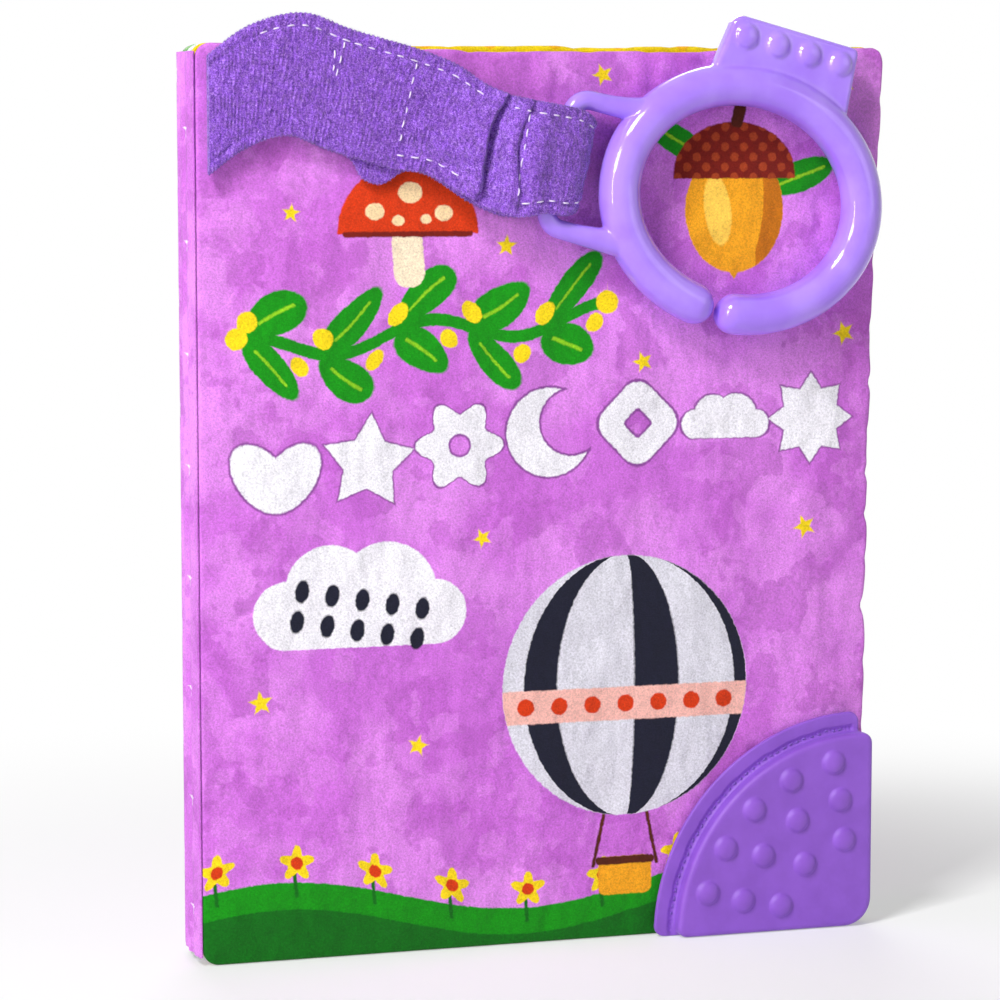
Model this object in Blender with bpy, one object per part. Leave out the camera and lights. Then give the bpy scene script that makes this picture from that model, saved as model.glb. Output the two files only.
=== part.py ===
"""Crinkle cloth book: four padded cloth leaves on a cloth spine, a stroller strap with a
snap-on teether ring, and a rubber teether over the lower fore corner of the front cover.

The book stands on its lower edge. +X runs from the spine to the fore edge, -Y is the front
cover's side and +Z is up. The origin is on the lower edge of the back cover's outer cloth,
half of the cover's full width from the spine. All lengths are in metres.
"""

import math

import bmesh
import bpy
from mathutils import Matrix, Vector

MM = 0.001

# Book block
COVER_WIDTH = 170 * MM
COVER_HEIGHT = 215 * MM
LEAF_THICKNESS = 5 * MM
LEAF_GAP = 0.3 * MM
CLOTH = 0.6 * MM
LAYER_GAP = 0.3 * MM
FILM = 0.25 * MM
SWELL_REACH = 18 * MM
CORNER_ROUND = 4 * MM
FORE_DRAW_IN = 3.5 * MM
TOP_DRAW_INS = (1.6 * MM, 0.3 * MM, 0.9 * MM, 0.6 * MM)
GRID_SHARES = (0, 0.026, 0.09, 0.25, 0.5, 0.75, 0.91, 0.974, 1)
SWELL_BLEND = 3

# Spine
SPINE_BOW = 1.2 * MM
SPINE_INSET = 2 * MM
SPINE_STEPS = 12

# Ring
RING_TUBE = 10 * MM
RING_OUTER_WIDTH = 72 * MM
RING_OUTER_HEIGHT = 64 * MM
RING_FROM_SPINE = 130.7 * MM
RING_BELOW_TOP = 36.6 * MM
RING_TILT = math.radians(-15)
RING_MOUTH = 0.8 * MM
RING_STEPS = 44
RING_SIDES = 12
REST_GAP = 0.3 * MM

# Bail of the ring
BAIL_TUBE = 5.5 * MM
BAIL_REACH = 46.5 * MM
BAIL_DROP = 2.6 * MM
BAIL_LENGTH = 34 * MM
BAIL_CORNER = 4 * MM
ARM_SPREAD = 3 * MM
BAIL_SIDES = 10

# Tab of the ring
TAB_WIDTH = 33 * MM
TAB_REACH = 42 * MM
TAB_SHIFT = 2.5 * MM
TAB_FLARE = 2.5 * MM
TAB_THICKNESS = 4.5 * MM
TAB_CORNER = 3 * MM
TAB_STUDS = 4
TAB_STUD_INSET = 4.6 * MM

# Strap
STRAP_WIDTH = 27 * MM
STRAP_LAYER = 1.5 * MM
STRAP_CLEARANCE = 0.5 * MM
STRAP_INSET = 1.5 * MM
STRAP_LOOK_AHEAD = 3.5 * MM
STRAP_SEAM_FROM_BAR = 13 * MM
STRAP_START_BELOW_TOP = 17.5 * MM
STRAP_CREST_FROM_SPINE = 22 * MM
STRAP_CREST_BELOW_TOP = 7 * MM
STRAP_DIP_FROM_SPINE = 60 * MM
STRAP_DIP_BELOW_TOP = 18 * MM
STRAP_STEPS = 18
STRAP_FOLD_STEPS = 8

# Corner teether
TEETHER_FLANGE_RADIUS = 53 * MM
TEETHER_FLANGE = 1.3 * MM
TEETHER_PLATE_RADIUS = 48 * MM
TEETHER_PLATE = 4.8 * MM
TEETHER_OVERHANG = 2.5 * MM
TEETHER_FROM_FORE = 6 * MM
TEETHER_CORNER = 7 * MM
TEETHER_TIP_ROUND = 2.5 * MM
TEETHER_EDGE_ROUND = 0.8 * MM
STUD_WIDTH = 5.8 * MM
STUD_RISE = 1.1 * MM
STUD_ROW_RADII = (42 * MM, 32.5 * MM, 22.5 * MM)
STUD_ROW_COUNTS = (5, 4, 3)
STUD_ROW_SPREADS = (math.radians(64), math.radians(64), math.radians(60))
STUD_ROWS_MIDDLE = math.radians(133)

LEAVES = ("front_cover", "leaf_1", "leaf_2", "back_cover")
FRONT_NAMES = ("outer_cloth", "front_cloth", "front_cloth", "lining_cloth")
BACK_NAMES = ("lining_cloth", "back_cloth", "back_cloth", "outer_cloth")

# Places that follow from the sizes above
SPINE_X = -COVER_WIDTH / 2
LEAF_PITCH = LEAF_THICKNESS + LEAF_GAP
BACK_SEAM_Y = -(LAYER_GAP + CLOTH) / 2
SEAM_Y = [BACK_SEAM_Y - (len(LEAVES) - 1 - k) * LEAF_PITCH for k in range(len(LEAVES))]
CROWN = LEAF_THICKNESS / 2 - LAYER_GAP / 2 - CLOTH
COVER_FACE_Y = SEAM_Y[0] - LEAF_THICKNESS / 2
RING_Y = COVER_FACE_Y - REST_GAP - RING_TUBE / 2
TEETHER_X = SPINE_X + COVER_WIDTH - TEETHER_FROM_FORE


def clear_scene():
    for old in list(bpy.data.objects):
        bpy.data.objects.remove(old, do_unlink=True)


def material(name, colour, roughness, metallic=0.0):
    made = bpy.data.materials.new(name)
    made.use_nodes = True
    shader = made.node_tree.nodes["Principled BSDF"]
    shader.inputs["Base Color"].default_value = (*colour, 1)
    shader.inputs["Roughness"].default_value = roughness
    shader.inputs["Metallic"].default_value = metallic
    made.diffuse_color = (*colour, 1)
    return made


def add_object(name, mesh, finish, smooth_angle=math.radians(40)):
    made = bpy.data.objects.new(name, mesh)
    bpy.context.collection.objects.link(made)
    if finish is not None:
        mesh.materials.append(finish)
        mesh.shade_smooth()
        mesh.set_sharp_from_angle(angle=smooth_angle)
    return made


def mesh_from(name, vertices, faces):
    """A mesh whose faces are turned outward."""
    mesh = bpy.data.meshes.new(name)
    mesh.from_pydata([tuple(v) for v in vertices], [], faces)
    form = bmesh.new()
    form.from_mesh(mesh)
    bmesh.ops.recalc_face_normals(form, faces=form.faces)
    form.to_mesh(mesh)
    form.free()
    return mesh


def joined(target, others):
    """Unites the others with the target and removes them."""
    for other in others:
        union = target.modifiers.new("union", "BOOLEAN")
        union.operation = "UNION"
        union.solver = "EXACT"
        union.object = other
        graph = bpy.context.evaluated_depsgraph_get()
        result = bpy.data.meshes.new_from_object(target.evaluated_get(graph))
        target.modifiers.clear()
        target.data = result
        bpy.data.objects.remove(other, do_unlink=True)
    form = bmesh.new()
    form.from_mesh(target.data)
    bmesh.ops.remove_doubles(form, verts=form.verts, dist=MM / 1000)
    bmesh.ops.dissolve_degenerate(form, edges=form.edges, dist=MM / 1000)
    form.to_mesh(target.data)
    form.free()
    return target


def move_origin(piece, place):
    """Puts the piece's origin at the place and leaves its mesh where it is."""
    piece.data.transform(Matrix.Translation(-Vector(place)))
    piece.location = place


def edge_rise(distance):
    """How far a padded leaf has risen at a distance from its seam, from 0 to 1."""
    left = max(0, 1 - distance / SWELL_REACH)
    return math.sqrt(1 - left * left)


def swell_at(x, z, width=COVER_WIDTH, height=COVER_HEIGHT):
    """The share of the full crown at a place on a leaf, measured from spine and base."""
    across = edge_rise(max(0, min(x, width - x)))
    up = edge_rise(max(0, min(z, height - z)))
    lost = ((1 - across) ** SWELL_BLEND + (1 - up) ** SWELL_BLEND) ** (1 / SWELL_BLEND)
    return max(0, 1 - lost)


def leaf_point(u, v, top_draw_in):
    """A place on a leaf's outline grid, and its share of the crown. The fore edge draws in
    below the top corner, the top edge between its corners, and the corners are cut back."""
    width = COVER_WIDTH - FORE_DRAW_IN * (1 - v**3)
    height = COVER_HEIGHT - top_draw_in * 4 * u * (1 - u)
    x, z = u * width, v * height
    share = swell_at(x, z, width, height)
    if u in (0, 1) and v in (0, 1):
        cut = CORNER_ROUND * (1 - math.sqrt(0.5))
        x += cut if u == 0 else -cut
        z += cut if v == 0 else -cut
    return x, z, share


def leaf_layer(name, number, front, back, margin, finish):
    """One layer of a leaf. front and back give the layer's two surfaces, measured from the
    seam plane, for a share of the crown. margin is how many grid lines the layer stays in
    from the seam."""
    seam_y = SEAM_Y[number]
    lines = GRID_SHARES[margin : len(GRID_SHARES) - margin]
    count = len(lines)
    vertices, faces = [], []
    for depth in (front, back):
        for v in lines:
            for u in lines:
                x, z, share = leaf_point(u, v, TOP_DRAW_INS[number])
                vertices.append((SPINE_X + x, seam_y + depth(share), z))
    second = count * count
    for row in range(count - 1):
        for column in range(count - 1):
            a = row * count + column
            b, c, d = a + 1, a + count + 1, a + count
            for start in (0, second):
                faces.append((a + start, b + start, c + start))
                faces.append((a + start, c + start, d + start))
    last = count - 1
    rim = [k for k in range(count)]
    rim += [row * count + last for row in range(1, count)]
    rim += [last * count + k for k in range(last - 1, -1, -1)]
    rim += [row * count for row in range(last - 1, 0, -1)]
    for here, there in zip(rim, rim[1:] + rim[:1]):
        faces.append((here, there, there + second, here + second))
    return add_object(name, mesh_from(name, vertices, faces), finish)


def padded_leaf(number, cloths, film, wadding):
    """Two cloths sewn together round the edge over a crinkle film and a wadding sheet."""
    leaf = LEAVES[number]
    inner, skin = LAYER_GAP / 2, LAYER_GAP / 2 + CLOTH
    pieces = [
        leaf_layer(f"{leaf}_{FRONT_NAMES[number]}", number,
                   lambda s: -skin - CROWN * s, lambda s: -inner - CROWN * s, 0, cloths[0]),
        leaf_layer(f"{leaf}_{BACK_NAMES[number]}", number,
                   lambda s: inner + CROWN * s, lambda s: skin + CROWN * s, 0, cloths[1]),
        leaf_layer(f"{leaf}_crinkle_film", number,
                   lambda s: LAYER_GAP - inner - CROWN * s,
                   lambda s: LAYER_GAP + FILM - inner - CROWN * s, 1, film),
        leaf_layer(f"{leaf}_wadding", number,
                   lambda s: 2 * LAYER_GAP + FILM - inner - CROWN * s,
                   lambda s: inner + CROWN * s - LAYER_GAP, 1, wadding),
    ]
    axis_y = SEAM_Y[number] + LEAF_PITCH / 2 if number < len(LEAVES) - 1 else 0
    for piece in pieces:
        move_origin(piece, (SPINE_X, axis_y, 0))


def spine_panel(finish):
    """The strip of cloth that closes the book's back between the two covers."""
    front_y = SEAM_Y[0] - LAYER_GAP / 2 - CLOTH
    back_y = SEAM_Y[-1] + LAYER_GAP / 2 + CLOTH
    low, high = SPINE_INSET, COVER_HEIGHT - SPINE_INSET
    vertices, faces = [], []
    for step in range(SPINE_STEPS + 1):
        t = step / SPINE_STEPS
        y = front_y + (back_y - front_y) * t
        inside = SPINE_X - LAYER_GAP - SPINE_BOW * 4 * t * (1 - t)
        for x in (inside, inside - CLOTH):
            for z in (low, high):
                vertices.append((x, y, z))
    for step in range(SPINE_STEPS):
        a, b = 4 * step, 4 * step + 4
        for here, there in ((0, 1), (1, 3), (3, 2), (2, 0)):
            faces.append((a + here, a + there, b + there, b + here))
    faces.append((0, 1, 3, 2))
    end = 4 * SPINE_STEPS
    faces.append((end, end + 2, end + 3, end + 1))
    return add_object("spine_panel", mesh_from("spine_panel", vertices, faces), finish)


def ring_place(u, v, y=0.0):
    """A place in the ring's own frame, u away from the strap and v towards the tab."""
    cos, sin = math.cos(RING_TILT), math.sin(RING_TILT)
    x = SPINE_X + RING_FROM_SPINE + u * cos - v * sin
    return Vector((x, RING_Y + y, COVER_HEIGHT - RING_BELOW_TOP + u * sin + v * cos))


def tube(name, points, radii, sides, finish):
    """A tube of round rings along the points, with closed ends, lying in the ring's plane."""
    vertices, faces = [], []
    for k, point in enumerate(points):
        before, after = points[max(k - 1, 0)], points[min(k + 1, len(points) - 1)]
        along = (after - before).normalized()
        side = Vector((0, 1, 0))
        up = along.cross(side).normalized()
        for n in range(sides):
            turn = 2 * math.pi * n / sides
            vertices.append(point + radii[k] * (math.cos(turn) * side + math.sin(turn) * up))
    for k in range(len(points) - 1):
        for n in range(sides):
            a, b = k * sides + n, k * sides + (n + 1) % sides
            faces.append((a, b, b + sides, a + sides))
    faces.append(tuple(range(sides)))
    faces.append(tuple((len(points) - 1) * sides + n for n in reversed(range(sides))))
    return add_object(name, mesh_from(name, vertices, faces), finish)


def ring_hoop(finish):
    """The open hoop: an oval tube whose two rounded ends nearly meet at the mouth."""
    wide = (RING_OUTER_WIDTH - RING_TUBE) / 2
    tall = (RING_OUTER_HEIGHT - RING_TUBE) / 2
    half_mouth = RING_MOUTH / 2 / wide
    turns = [half_mouth + (2 * math.pi - 2 * half_mouth) * k / RING_STEPS
             for k in range(RING_STEPS + 1)]
    points = [ring_place(-wide * math.sin(t), -tall * math.cos(t)) for t in turns]
    round_shares = (0.55, 0.88)
    radii = [RING_TUBE / 2] * len(points)
    lead = RING_TUBE / 10
    for k, share in enumerate(round_shares):
        radii[k] = radii[-1 - k] = share * RING_TUBE / 2
    points[1] = points[0].lerp(points[2], lead / (points[2] - points[0]).length)
    points[-2] = points[-1].lerp(points[-3], lead / (points[-3] - points[-1]).length)
    return tube("teether_ring", points, radii, RING_SIDES, finish)


def bail(finish):
    """The closed loop that the strap runs through: a bar and two arms into the hoop."""
    wide = (RING_OUTER_WIDTH - RING_TUBE) / 2
    tall = (RING_OUTER_HEIGHT - RING_TUBE) / 2
    half = BAIL_LENGTH / 2
    points = []
    for sign in (1, -1):
        arm_v = half + ARM_SPREAD
        reach = wide * math.sqrt(1 - min(arm_v / tall, 0.9) ** 2)
        root = (-reach, sign * arm_v - BAIL_DROP / 2)
        mid = ((-BAIL_REACH + BAIL_CORNER - reach) / 2, sign * (half + ARM_SPREAD / 3) - BAIL_DROP)
        knee = (-BAIL_REACH + BAIL_CORNER, sign * half - BAIL_DROP)
        side = [root, mid, knee]
        for step in (1, 2, 3):
            turn = math.radians(90) * step / 3
            side.append((
                -BAIL_REACH + BAIL_CORNER - BAIL_CORNER * math.sin(turn),
                sign * (half - BAIL_CORNER + BAIL_CORNER * math.cos(turn)) - BAIL_DROP,
            ))
        points += side if sign > 0 else side[::-1]
    places = [ring_place(u, v) for u, v in points]
    radii = [BAIL_TUBE / 2] * len(places)
    radii[0] = radii[-1] = 0.75 * BAIL_TUBE
    return tube("bail", places, radii, BAIL_SIDES, finish)


def stud(name, centre, out, finish):
    """A low round stud whose foot is sunk in the plate under it."""
    form = bmesh.new()
    bmesh.ops.create_uvsphere(form, u_segments=10, v_segments=6, radius=STUD_WIDTH / 2)
    mesh = bpy.data.meshes.new(name)
    form.to_mesh(mesh)
    form.free()
    squash = Matrix.Diagonal((1, 1, STUD_RISE / (STUD_WIDTH / 2), 1))
    turn = Vector((0, 0, 1)).rotation_difference(out).to_matrix().to_4x4()
    mesh.transform(Matrix.Translation(centre) @ turn @ squash)
    return add_object(name, mesh, finish)


def plate(name, outline, front_y, back_y, round_edge, finish):
    """A plate between two Y planes with the given outline of (x, z) points."""
    count = len(outline)
    vertices = [(x, front_y, z) for x, z in outline] + [(x, back_y, z) for x, z in outline]
    faces = [tuple(range(count)), tuple(range(2 * count - 1, count - 1, -1))]
    for k in range(count):
        after = (k + 1) % count
        faces.append((k, after, after + count, k + count))
    made = add_object(name, mesh_from(name, vertices, faces), finish)
    bevel = made.modifiers.new("round_edge", "BEVEL")
    bevel.width = round_edge
    bevel.segments = 2
    bevel.limit_method = "ANGLE"
    bevel.angle_limit = math.radians(60)
    graph = bpy.context.evaluated_depsgraph_get()
    made.data = bpy.data.meshes.new_from_object(made.evaluated_get(graph))
    made.modifiers.clear()
    return made


def arc(centre, radius, start, end, steps):
    return [
        (centre[0] + radius * math.cos(start + (end - start) * k / steps),
         centre[1] + radius * math.sin(start + (end - start) * k / steps))
        for k in range(steps + 1)
    ]


def ring_tab(finish):
    """The flat chewing tab that stands out of the hoop, with a row of studs."""
    foot = RING_OUTER_HEIGHT / 2 - RING_TUBE * 0.8
    left, right = TAB_SHIFT - TAB_WIDTH / 2, TAB_SHIFT + TAB_WIDTH / 2
    outline = [(left - TAB_FLARE, foot), (right + TAB_FLARE / 2, foot)]
    outline += arc((right - TAB_CORNER, TAB_REACH - TAB_CORNER), TAB_CORNER, 0, math.pi / 2, 4)
    outline += arc((left + TAB_CORNER, TAB_REACH - TAB_CORNER), TAB_CORNER,
                   math.pi / 2, math.pi, 4)
    places = [ring_place(u, v) for u, v in outline]
    half = TAB_THICKNESS / 2
    slab = plate("tab", [(p.x, p.z) for p in places], RING_Y - half, RING_Y + half,
                 TAB_THICKNESS / 5, finish)
    studs = []
    step = TAB_WIDTH / TAB_STUDS
    for k in range(TAB_STUDS):
        u = left + step * (k + 0.5)
        centre = ring_place(u, TAB_REACH - TAB_STUD_INSET, -half)
        studs.append(stud(f"tab_stud_{k}", centre, Vector((0, -1, 0)), finish))
    return joined(slab, studs)


def teether_ring(finish):
    hoop = ring_hoop(finish)
    whole = joined(hoop, [bail(finish), ring_tab(finish)])
    bar = ring_place(-BAIL_REACH, -BAIL_DROP)
    move_origin(whole, bar)
    return whole


def strap_route():
    """Stations of the doubled strap: place along its middle line, from spine to bar."""
    bar = ring_place(-BAIL_REACH, -BAIL_DROP)
    along = ring_place(1, 0) - ring_place(0, 0)
    end = Vector((bar.x - SPINE_X, bar.z))
    heading = Vector((along.x, along.z)).normalized()
    knots = [
        Vector((STRAP_INSET, COVER_HEIGHT - STRAP_START_BELOW_TOP)),
        Vector((STRAP_CREST_FROM_SPINE, COVER_HEIGHT - STRAP_CREST_BELOW_TOP)),
        Vector((STRAP_DIP_FROM_SPINE, COVER_HEIGHT - STRAP_DIP_BELOW_TOP)),
        end - heading * STRAP_SEAM_FROM_BAR,
    ]
    slopes = [(knots[1] - knots[0]) * 1.1, (knots[2] - knots[0]) / 2,
              (knots[3] - knots[1]) / 2, heading * (knots[3] - knots[2]).length]
    route = []
    per_span = STRAP_STEPS // 3
    for span in range(3):
        for step in range(per_span):
            t = step / per_span
            a, b = knots[span], knots[span + 1]
            m, n = slopes[span], slopes[span + 1]
            route.append(
                a * (2 * t**3 - 3 * t**2 + 1) + m * (t**3 - 2 * t**2 + t)
                + b * (3 * t**2 - 2 * t**3) + n * (t**3 - t**2)
            )
    route.append(knots[3])
    return route, end, heading


def strap_back_y(x, z):
    """The plane just in front of the front cover that the strap's back follows."""
    swell = swell_at(x + STRAP_LOOK_AHEAD, min(z, COVER_HEIGHT - SWELL_REACH))
    return SEAM_Y[0] - LAYER_GAP / 2 - CLOTH - CROWN * swell - STRAP_CLEARANCE


def strap(finish):
    """A doubled band, open only where it turns round the bail's bar."""
    route, end, heading = strap_route()
    half = STRAP_WIDTH / 2
    inner = BAIL_TUBE / 2 + REST_GAP
    outer = inner + STRAP_LAYER
    vertices, faces = [], []

    def station(place, direction, y):
        side = Vector((-direction.y, direction.x))
        for sign in (1, -1):
            edge = place + side * half * sign
            vertices.append((SPINE_X + edge.x, y, edge.y))
        return len(vertices) - 2

    fronts, backs = [], []
    for k, place in enumerate(route):
        before, after = route[max(k - 1, 0)], route[min(k + 1, len(route) - 1)]
        direction = heading if k == len(route) - 1 else (after - before).normalized()
        upright = max(0, 1 - (place.x - STRAP_INSET) / STRAP_CREST_FROM_SPINE)
        direction = direction.lerp(Vector((1, 0)), upright).normalized()
        back = strap_back_y(place.x, place.y)
        fronts.append(station(place, direction, back - 2 * STRAP_LAYER))
        backs.append(station(place, direction, back))
    fork_y = strap_back_y(route[-1].x, route[-1].y) - STRAP_LAYER
    fork = station(route[-1] + heading * STRAP_LAYER, heading, fork_y)
    run, rise = (route[-1] - end).dot(heading) + STRAP_LAYER, fork_y - RING_Y
    facing, spread = math.atan2(rise, run), math.acos(inner / math.hypot(run, rise))
    start = facing + spread - 1.5 * math.pi
    stop = facing - spread + math.pi / 2
    outers, inners = [], []
    for step in range(STRAP_FOLD_STEPS + 1):
        turn = start + (stop - start) * step / STRAP_FOLD_STEPS
        for radius, kept in ((outer, outers), (inner, inners)):
            place = end + heading * radius * math.sin(turn)
            kept.append(station(place, heading, RING_Y - radius * math.cos(turn)))

    def wall(a, b):
        faces.append((a, a + 1, b + 1, b))

    def rims(a, b, c, d):
        faces.append((a, b, c, d))
        faces.append((a + 1, d + 1, c + 1, b + 1))

    wall(fronts[0], backs[0])
    for k in range(len(route) - 1):
        wall(fronts[k], fronts[k + 1])
        wall(backs[k], backs[k + 1])
        rims(fronts[k], fronts[k + 1], backs[k + 1], backs[k])
    wall(fronts[-1], outers[0])
    wall(backs[-1], outers[-1])
    wall(fork, inners[0])
    wall(fork, inners[-1])
    for k in range(STRAP_FOLD_STEPS):
        wall(outers[k], outers[k + 1])
        wall(inners[k], inners[k + 1])
        rims(outers[k], outers[k + 1], inners[k + 1], inners[k])
    rims(fronts[-1], outers[0], inners[0], fork)
    rims(backs[-1], outers[-1], inners[-1], fork)
    faces.append((fronts[-1], fork, backs[-1]))
    faces.append((fronts[-1] + 1, backs[-1] + 1, fork + 1))
    made = add_object("strap", mesh_from("strap", vertices, faces), finish)
    root = route[0]
    move_origin(made, (SPINE_X + root.x, strap_back_y(root.x, root.y), root.y))
    return made


def teether_outline(radius, overhang, steps):
    """A quarter disc over the cover's lower fore corner, with rounded tips."""
    corner = (TEETHER_X, 0)
    right = corner[0] + overhang
    tip = TEETHER_TIP_ROUND
    low_turn = math.asin(tip / (radius - tip))
    rise = math.sqrt((radius - tip) ** 2 - (overhang - tip) ** 2)
    fore_centre = (right - tip, rise)
    fore_turn = math.atan2(rise, overhang - tip)
    base_centre = (corner[0] - (radius - tip) * math.cos(low_turn), tip)
    outline = arc(fore_centre, tip, 0, fore_turn, 3)
    outline += arc(corner, radius, fore_turn, math.pi - low_turn, steps)[1:-1]
    outline += arc(base_centre, tip, math.pi - low_turn, 1.5 * math.pi, 4)
    if overhang > 0:
        outline += arc((right - TEETHER_CORNER, TEETHER_CORNER), TEETHER_CORNER,
                       1.5 * math.pi, 2 * math.pi, 5)
    else:
        outline += [(right, 0)]
    return outline


def corner_teether(finish):
    """One rubber moulding: a thin flange sewn to the cover and a studded chewing plate."""
    back = COVER_FACE_Y - REST_GAP
    flange = plate("corner_teether", teether_outline(TEETHER_FLANGE_RADIUS, 0, 14),
                   back - TEETHER_FLANGE, back, TEETHER_FLANGE / 4, finish)
    chew = plate("chew_plate", teether_outline(TEETHER_PLATE_RADIUS, TEETHER_OVERHANG, 14),
                 back - TEETHER_PLATE, back - TEETHER_FLANGE / 3, TEETHER_EDGE_ROUND, finish)
    studs = []
    for radius, count, spread in zip(STUD_ROW_RADII, STUD_ROW_COUNTS, STUD_ROW_SPREADS):
        for k in range(count):
            turn = STUD_ROWS_MIDDLE + spread * (k / (count - 1) - 0.5)
            centre = Vector((TEETHER_X + radius * math.cos(turn),
                             back - TEETHER_PLATE, radius * math.sin(turn)))
            studs.append(stud(f"stud_{radius}_{k}", centre, Vector((0, -1, 0)), finish))
    whole = joined(flange, [chew] + studs)
    move_origin(whole, (SPINE_X, SEAM_Y[0] + LEAF_PITCH / 2, 0))
    return whole


def build():
    clear_scene()
    orchid = material("orchid_cloth", (0.62, 0.21, 0.68), 0.85)
    yellow = material("yellow_cloth", (0.86, 0.72, 0.05), 0.85)
    sky = material("sky_cloth", (0.25, 0.55, 0.80), 0.85)
    green = material("green_cloth", (0.18, 0.50, 0.16), 0.85)
    film = material("crinkle_film", (0.80, 0.82, 0.84), 0.25)
    wadding = material("wadding", (0.86, 0.86, 0.84), 0.95)
    velour = material("velour", (0.27, 0.10, 0.62), 0.95)
    plastic = material("ring_plastic", (0.42, 0.20, 0.93), 0.15)
    rubber = material("corner_rubber", (0.32, 0.10, 0.70), 0.45)
    cloths = ((orchid, yellow), (yellow, sky), (sky, green), (green, orchid))
    for number in range(len(LEAVES)):
        padded_leaf(number, cloths[number], film, wadding)
    spine_panel(orchid)
    strap(velour)
    teether_ring(plastic)
    corner_teether(rubber)


build()
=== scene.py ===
"""Looks of the crinkle cloth book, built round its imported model. All lengths are in metres."""
import math

import bmesh
import bpy
import numpy as np
from mathutils import Matrix, Vector

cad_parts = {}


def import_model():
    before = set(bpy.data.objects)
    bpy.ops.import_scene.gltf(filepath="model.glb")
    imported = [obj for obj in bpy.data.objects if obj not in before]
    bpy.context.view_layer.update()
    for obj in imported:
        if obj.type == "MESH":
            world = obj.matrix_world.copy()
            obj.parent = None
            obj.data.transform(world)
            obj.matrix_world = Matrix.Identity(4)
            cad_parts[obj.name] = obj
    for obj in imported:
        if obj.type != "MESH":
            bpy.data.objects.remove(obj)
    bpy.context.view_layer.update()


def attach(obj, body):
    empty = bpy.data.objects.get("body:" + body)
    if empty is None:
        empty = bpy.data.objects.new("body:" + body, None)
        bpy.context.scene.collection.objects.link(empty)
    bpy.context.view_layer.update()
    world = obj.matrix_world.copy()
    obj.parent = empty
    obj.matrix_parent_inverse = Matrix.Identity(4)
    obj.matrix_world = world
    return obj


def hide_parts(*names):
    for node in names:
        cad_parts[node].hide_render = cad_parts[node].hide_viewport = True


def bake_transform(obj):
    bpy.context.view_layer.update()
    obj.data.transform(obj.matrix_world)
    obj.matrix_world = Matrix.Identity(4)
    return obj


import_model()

MM = 0.001

# The book's sizes, as the part has them, but for the spine's bow, the bail's arms and the
# studs' rise
COVER_WIDTH = 170 * MM
COVER_HEIGHT = 215 * MM
LEAF_THICKNESS = 5 * MM
LEAF_PITCH = 5.3 * MM
CLOTH = 0.6 * MM
LAYER_GAP = 0.3 * MM
FILM = 0.25 * MM
SWELL_REACH = 18 * MM
SWELL_BLEND = 3
CORNER_ROUND = 4 * MM
FORE_DRAW_IN = 3.5 * MM
TOP_DRAW_INS = (1.6 * MM, 0.3 * MM, 0.9 * MM, 0.6 * MM)
SPINE_X = -COVER_WIDTH / 2
SPINE_BOW = 1 * MM
SPINE_INSET = 2 * MM
BACK_SEAM_Y = -(LAYER_GAP + CLOTH) / 2
SEAM_Y = [BACK_SEAM_Y - (3 - k) * LEAF_PITCH for k in range(4)]
CROWN = LEAF_THICKNESS / 2 - LAYER_GAP / 2 - CLOTH
COVER_FACE_Y = SEAM_Y[0] - LEAF_THICKNESS / 2
REST_GAP = 0.3 * MM

RING_TUBE = 10 * MM
RING_WIDE = 31 * MM
RING_TALL = 27 * MM
RING_FROM_SPINE = 130.7 * MM
RING_BELOW_TOP = 36.6 * MM
RING_TILT = math.radians(-15)
RING_Y = COVER_FACE_Y - REST_GAP - RING_TUBE / 2
RING_MOUTH = 0.8 * MM
BAIL_TUBE = 5.5 * MM
BAIL_REACH = 46.5 * MM
BAIL_DROP = 2.6 * MM
BAIL_CORNER = 4 * MM
# The arms stand closer and straighter than the part's, since the strap is soft here
BAIL_LENGTH = 31 * MM
ARM_SPREAD = 0.4 * MM
TAB_WIDTH = 33 * MM
TAB_REACH = 42 * MM
TAB_SHIFT = 2.5 * MM
TAB_FLARE = 2.5 * MM
TAB_THICKNESS = 4.5 * MM
TAB_CORNER = 3 * MM
TAB_STUDS = 4
TAB_STUD_INSET = 4.6 * MM

STRAP_LAYER = 1.5 * MM
BAND_HALF = STRAP_LAYER / 2 * 0.92  # of the velour layer without its pile
STRAP_CLEARANCE = 0.5 * MM
STRAP_LOOK_AHEAD = 3.5 * MM

FLANGE_RADIUS = 53 * MM
FLANGE_THICKNESS = 1.3 * MM
PLATE_RADIUS = 48 * MM
PLATE_THICKNESS = 4.8 * MM
PLATE_OVERHANG = 2.5 * MM
TEETHER_X = SPINE_X + COVER_WIDTH - 6 * MM
PLATE_CORNER = 7 * MM
TIP_ROUND = 2.5 * MM
STUD_WIDTH = 5.8 * MM
STUD_RISE = 1.35 * MM
STUD_ROWS = ((42 * MM, 5, 64), (32.5 * MM, 4, 64), (22.5 * MM, 3, 60))
STUD_ROWS_MIDDLE = 133

LEAVES = ("front_cover", "leaf_1", "leaf_2", "back_cover")
FRONT_NAMES = ("outer_cloth", "front_cloth", "front_cloth", "lining_cloth")
BACK_NAMES = ("lining_cloth", "back_cloth", "back_cloth", "outer_cloth")


# Waves and shares

LUMP_WAVES = 20
RIPPLE_WAVES = ((1, 0.5), (1.63, 0.3), (2.71, 0.2))  # how tight each wave is, and its weight


def held(values):
    """The values, kept between 0 and 1."""
    return np.clip(values, 0, 1)


def eased(values):
    """From 0 to 1 with a soft start and a soft end."""
    t = held(values)
    return t * t * (3 - 2 * t)


def rounded(distance, reach):
    """From 0 at an edge to 1 at the reach, along a quarter circle."""
    left = 1 - held(distance / reach)
    return np.sqrt(1 - left * left)


def hump(values, centre, width):
    """1 at the centre, and a smooth fall to 0 on both sides."""
    return np.exp(-((values - centre) / width) ** 2)


def unit(rows):
    return rows / np.linalg.norm(rows, axis=-1, keepdims=True)


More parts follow.
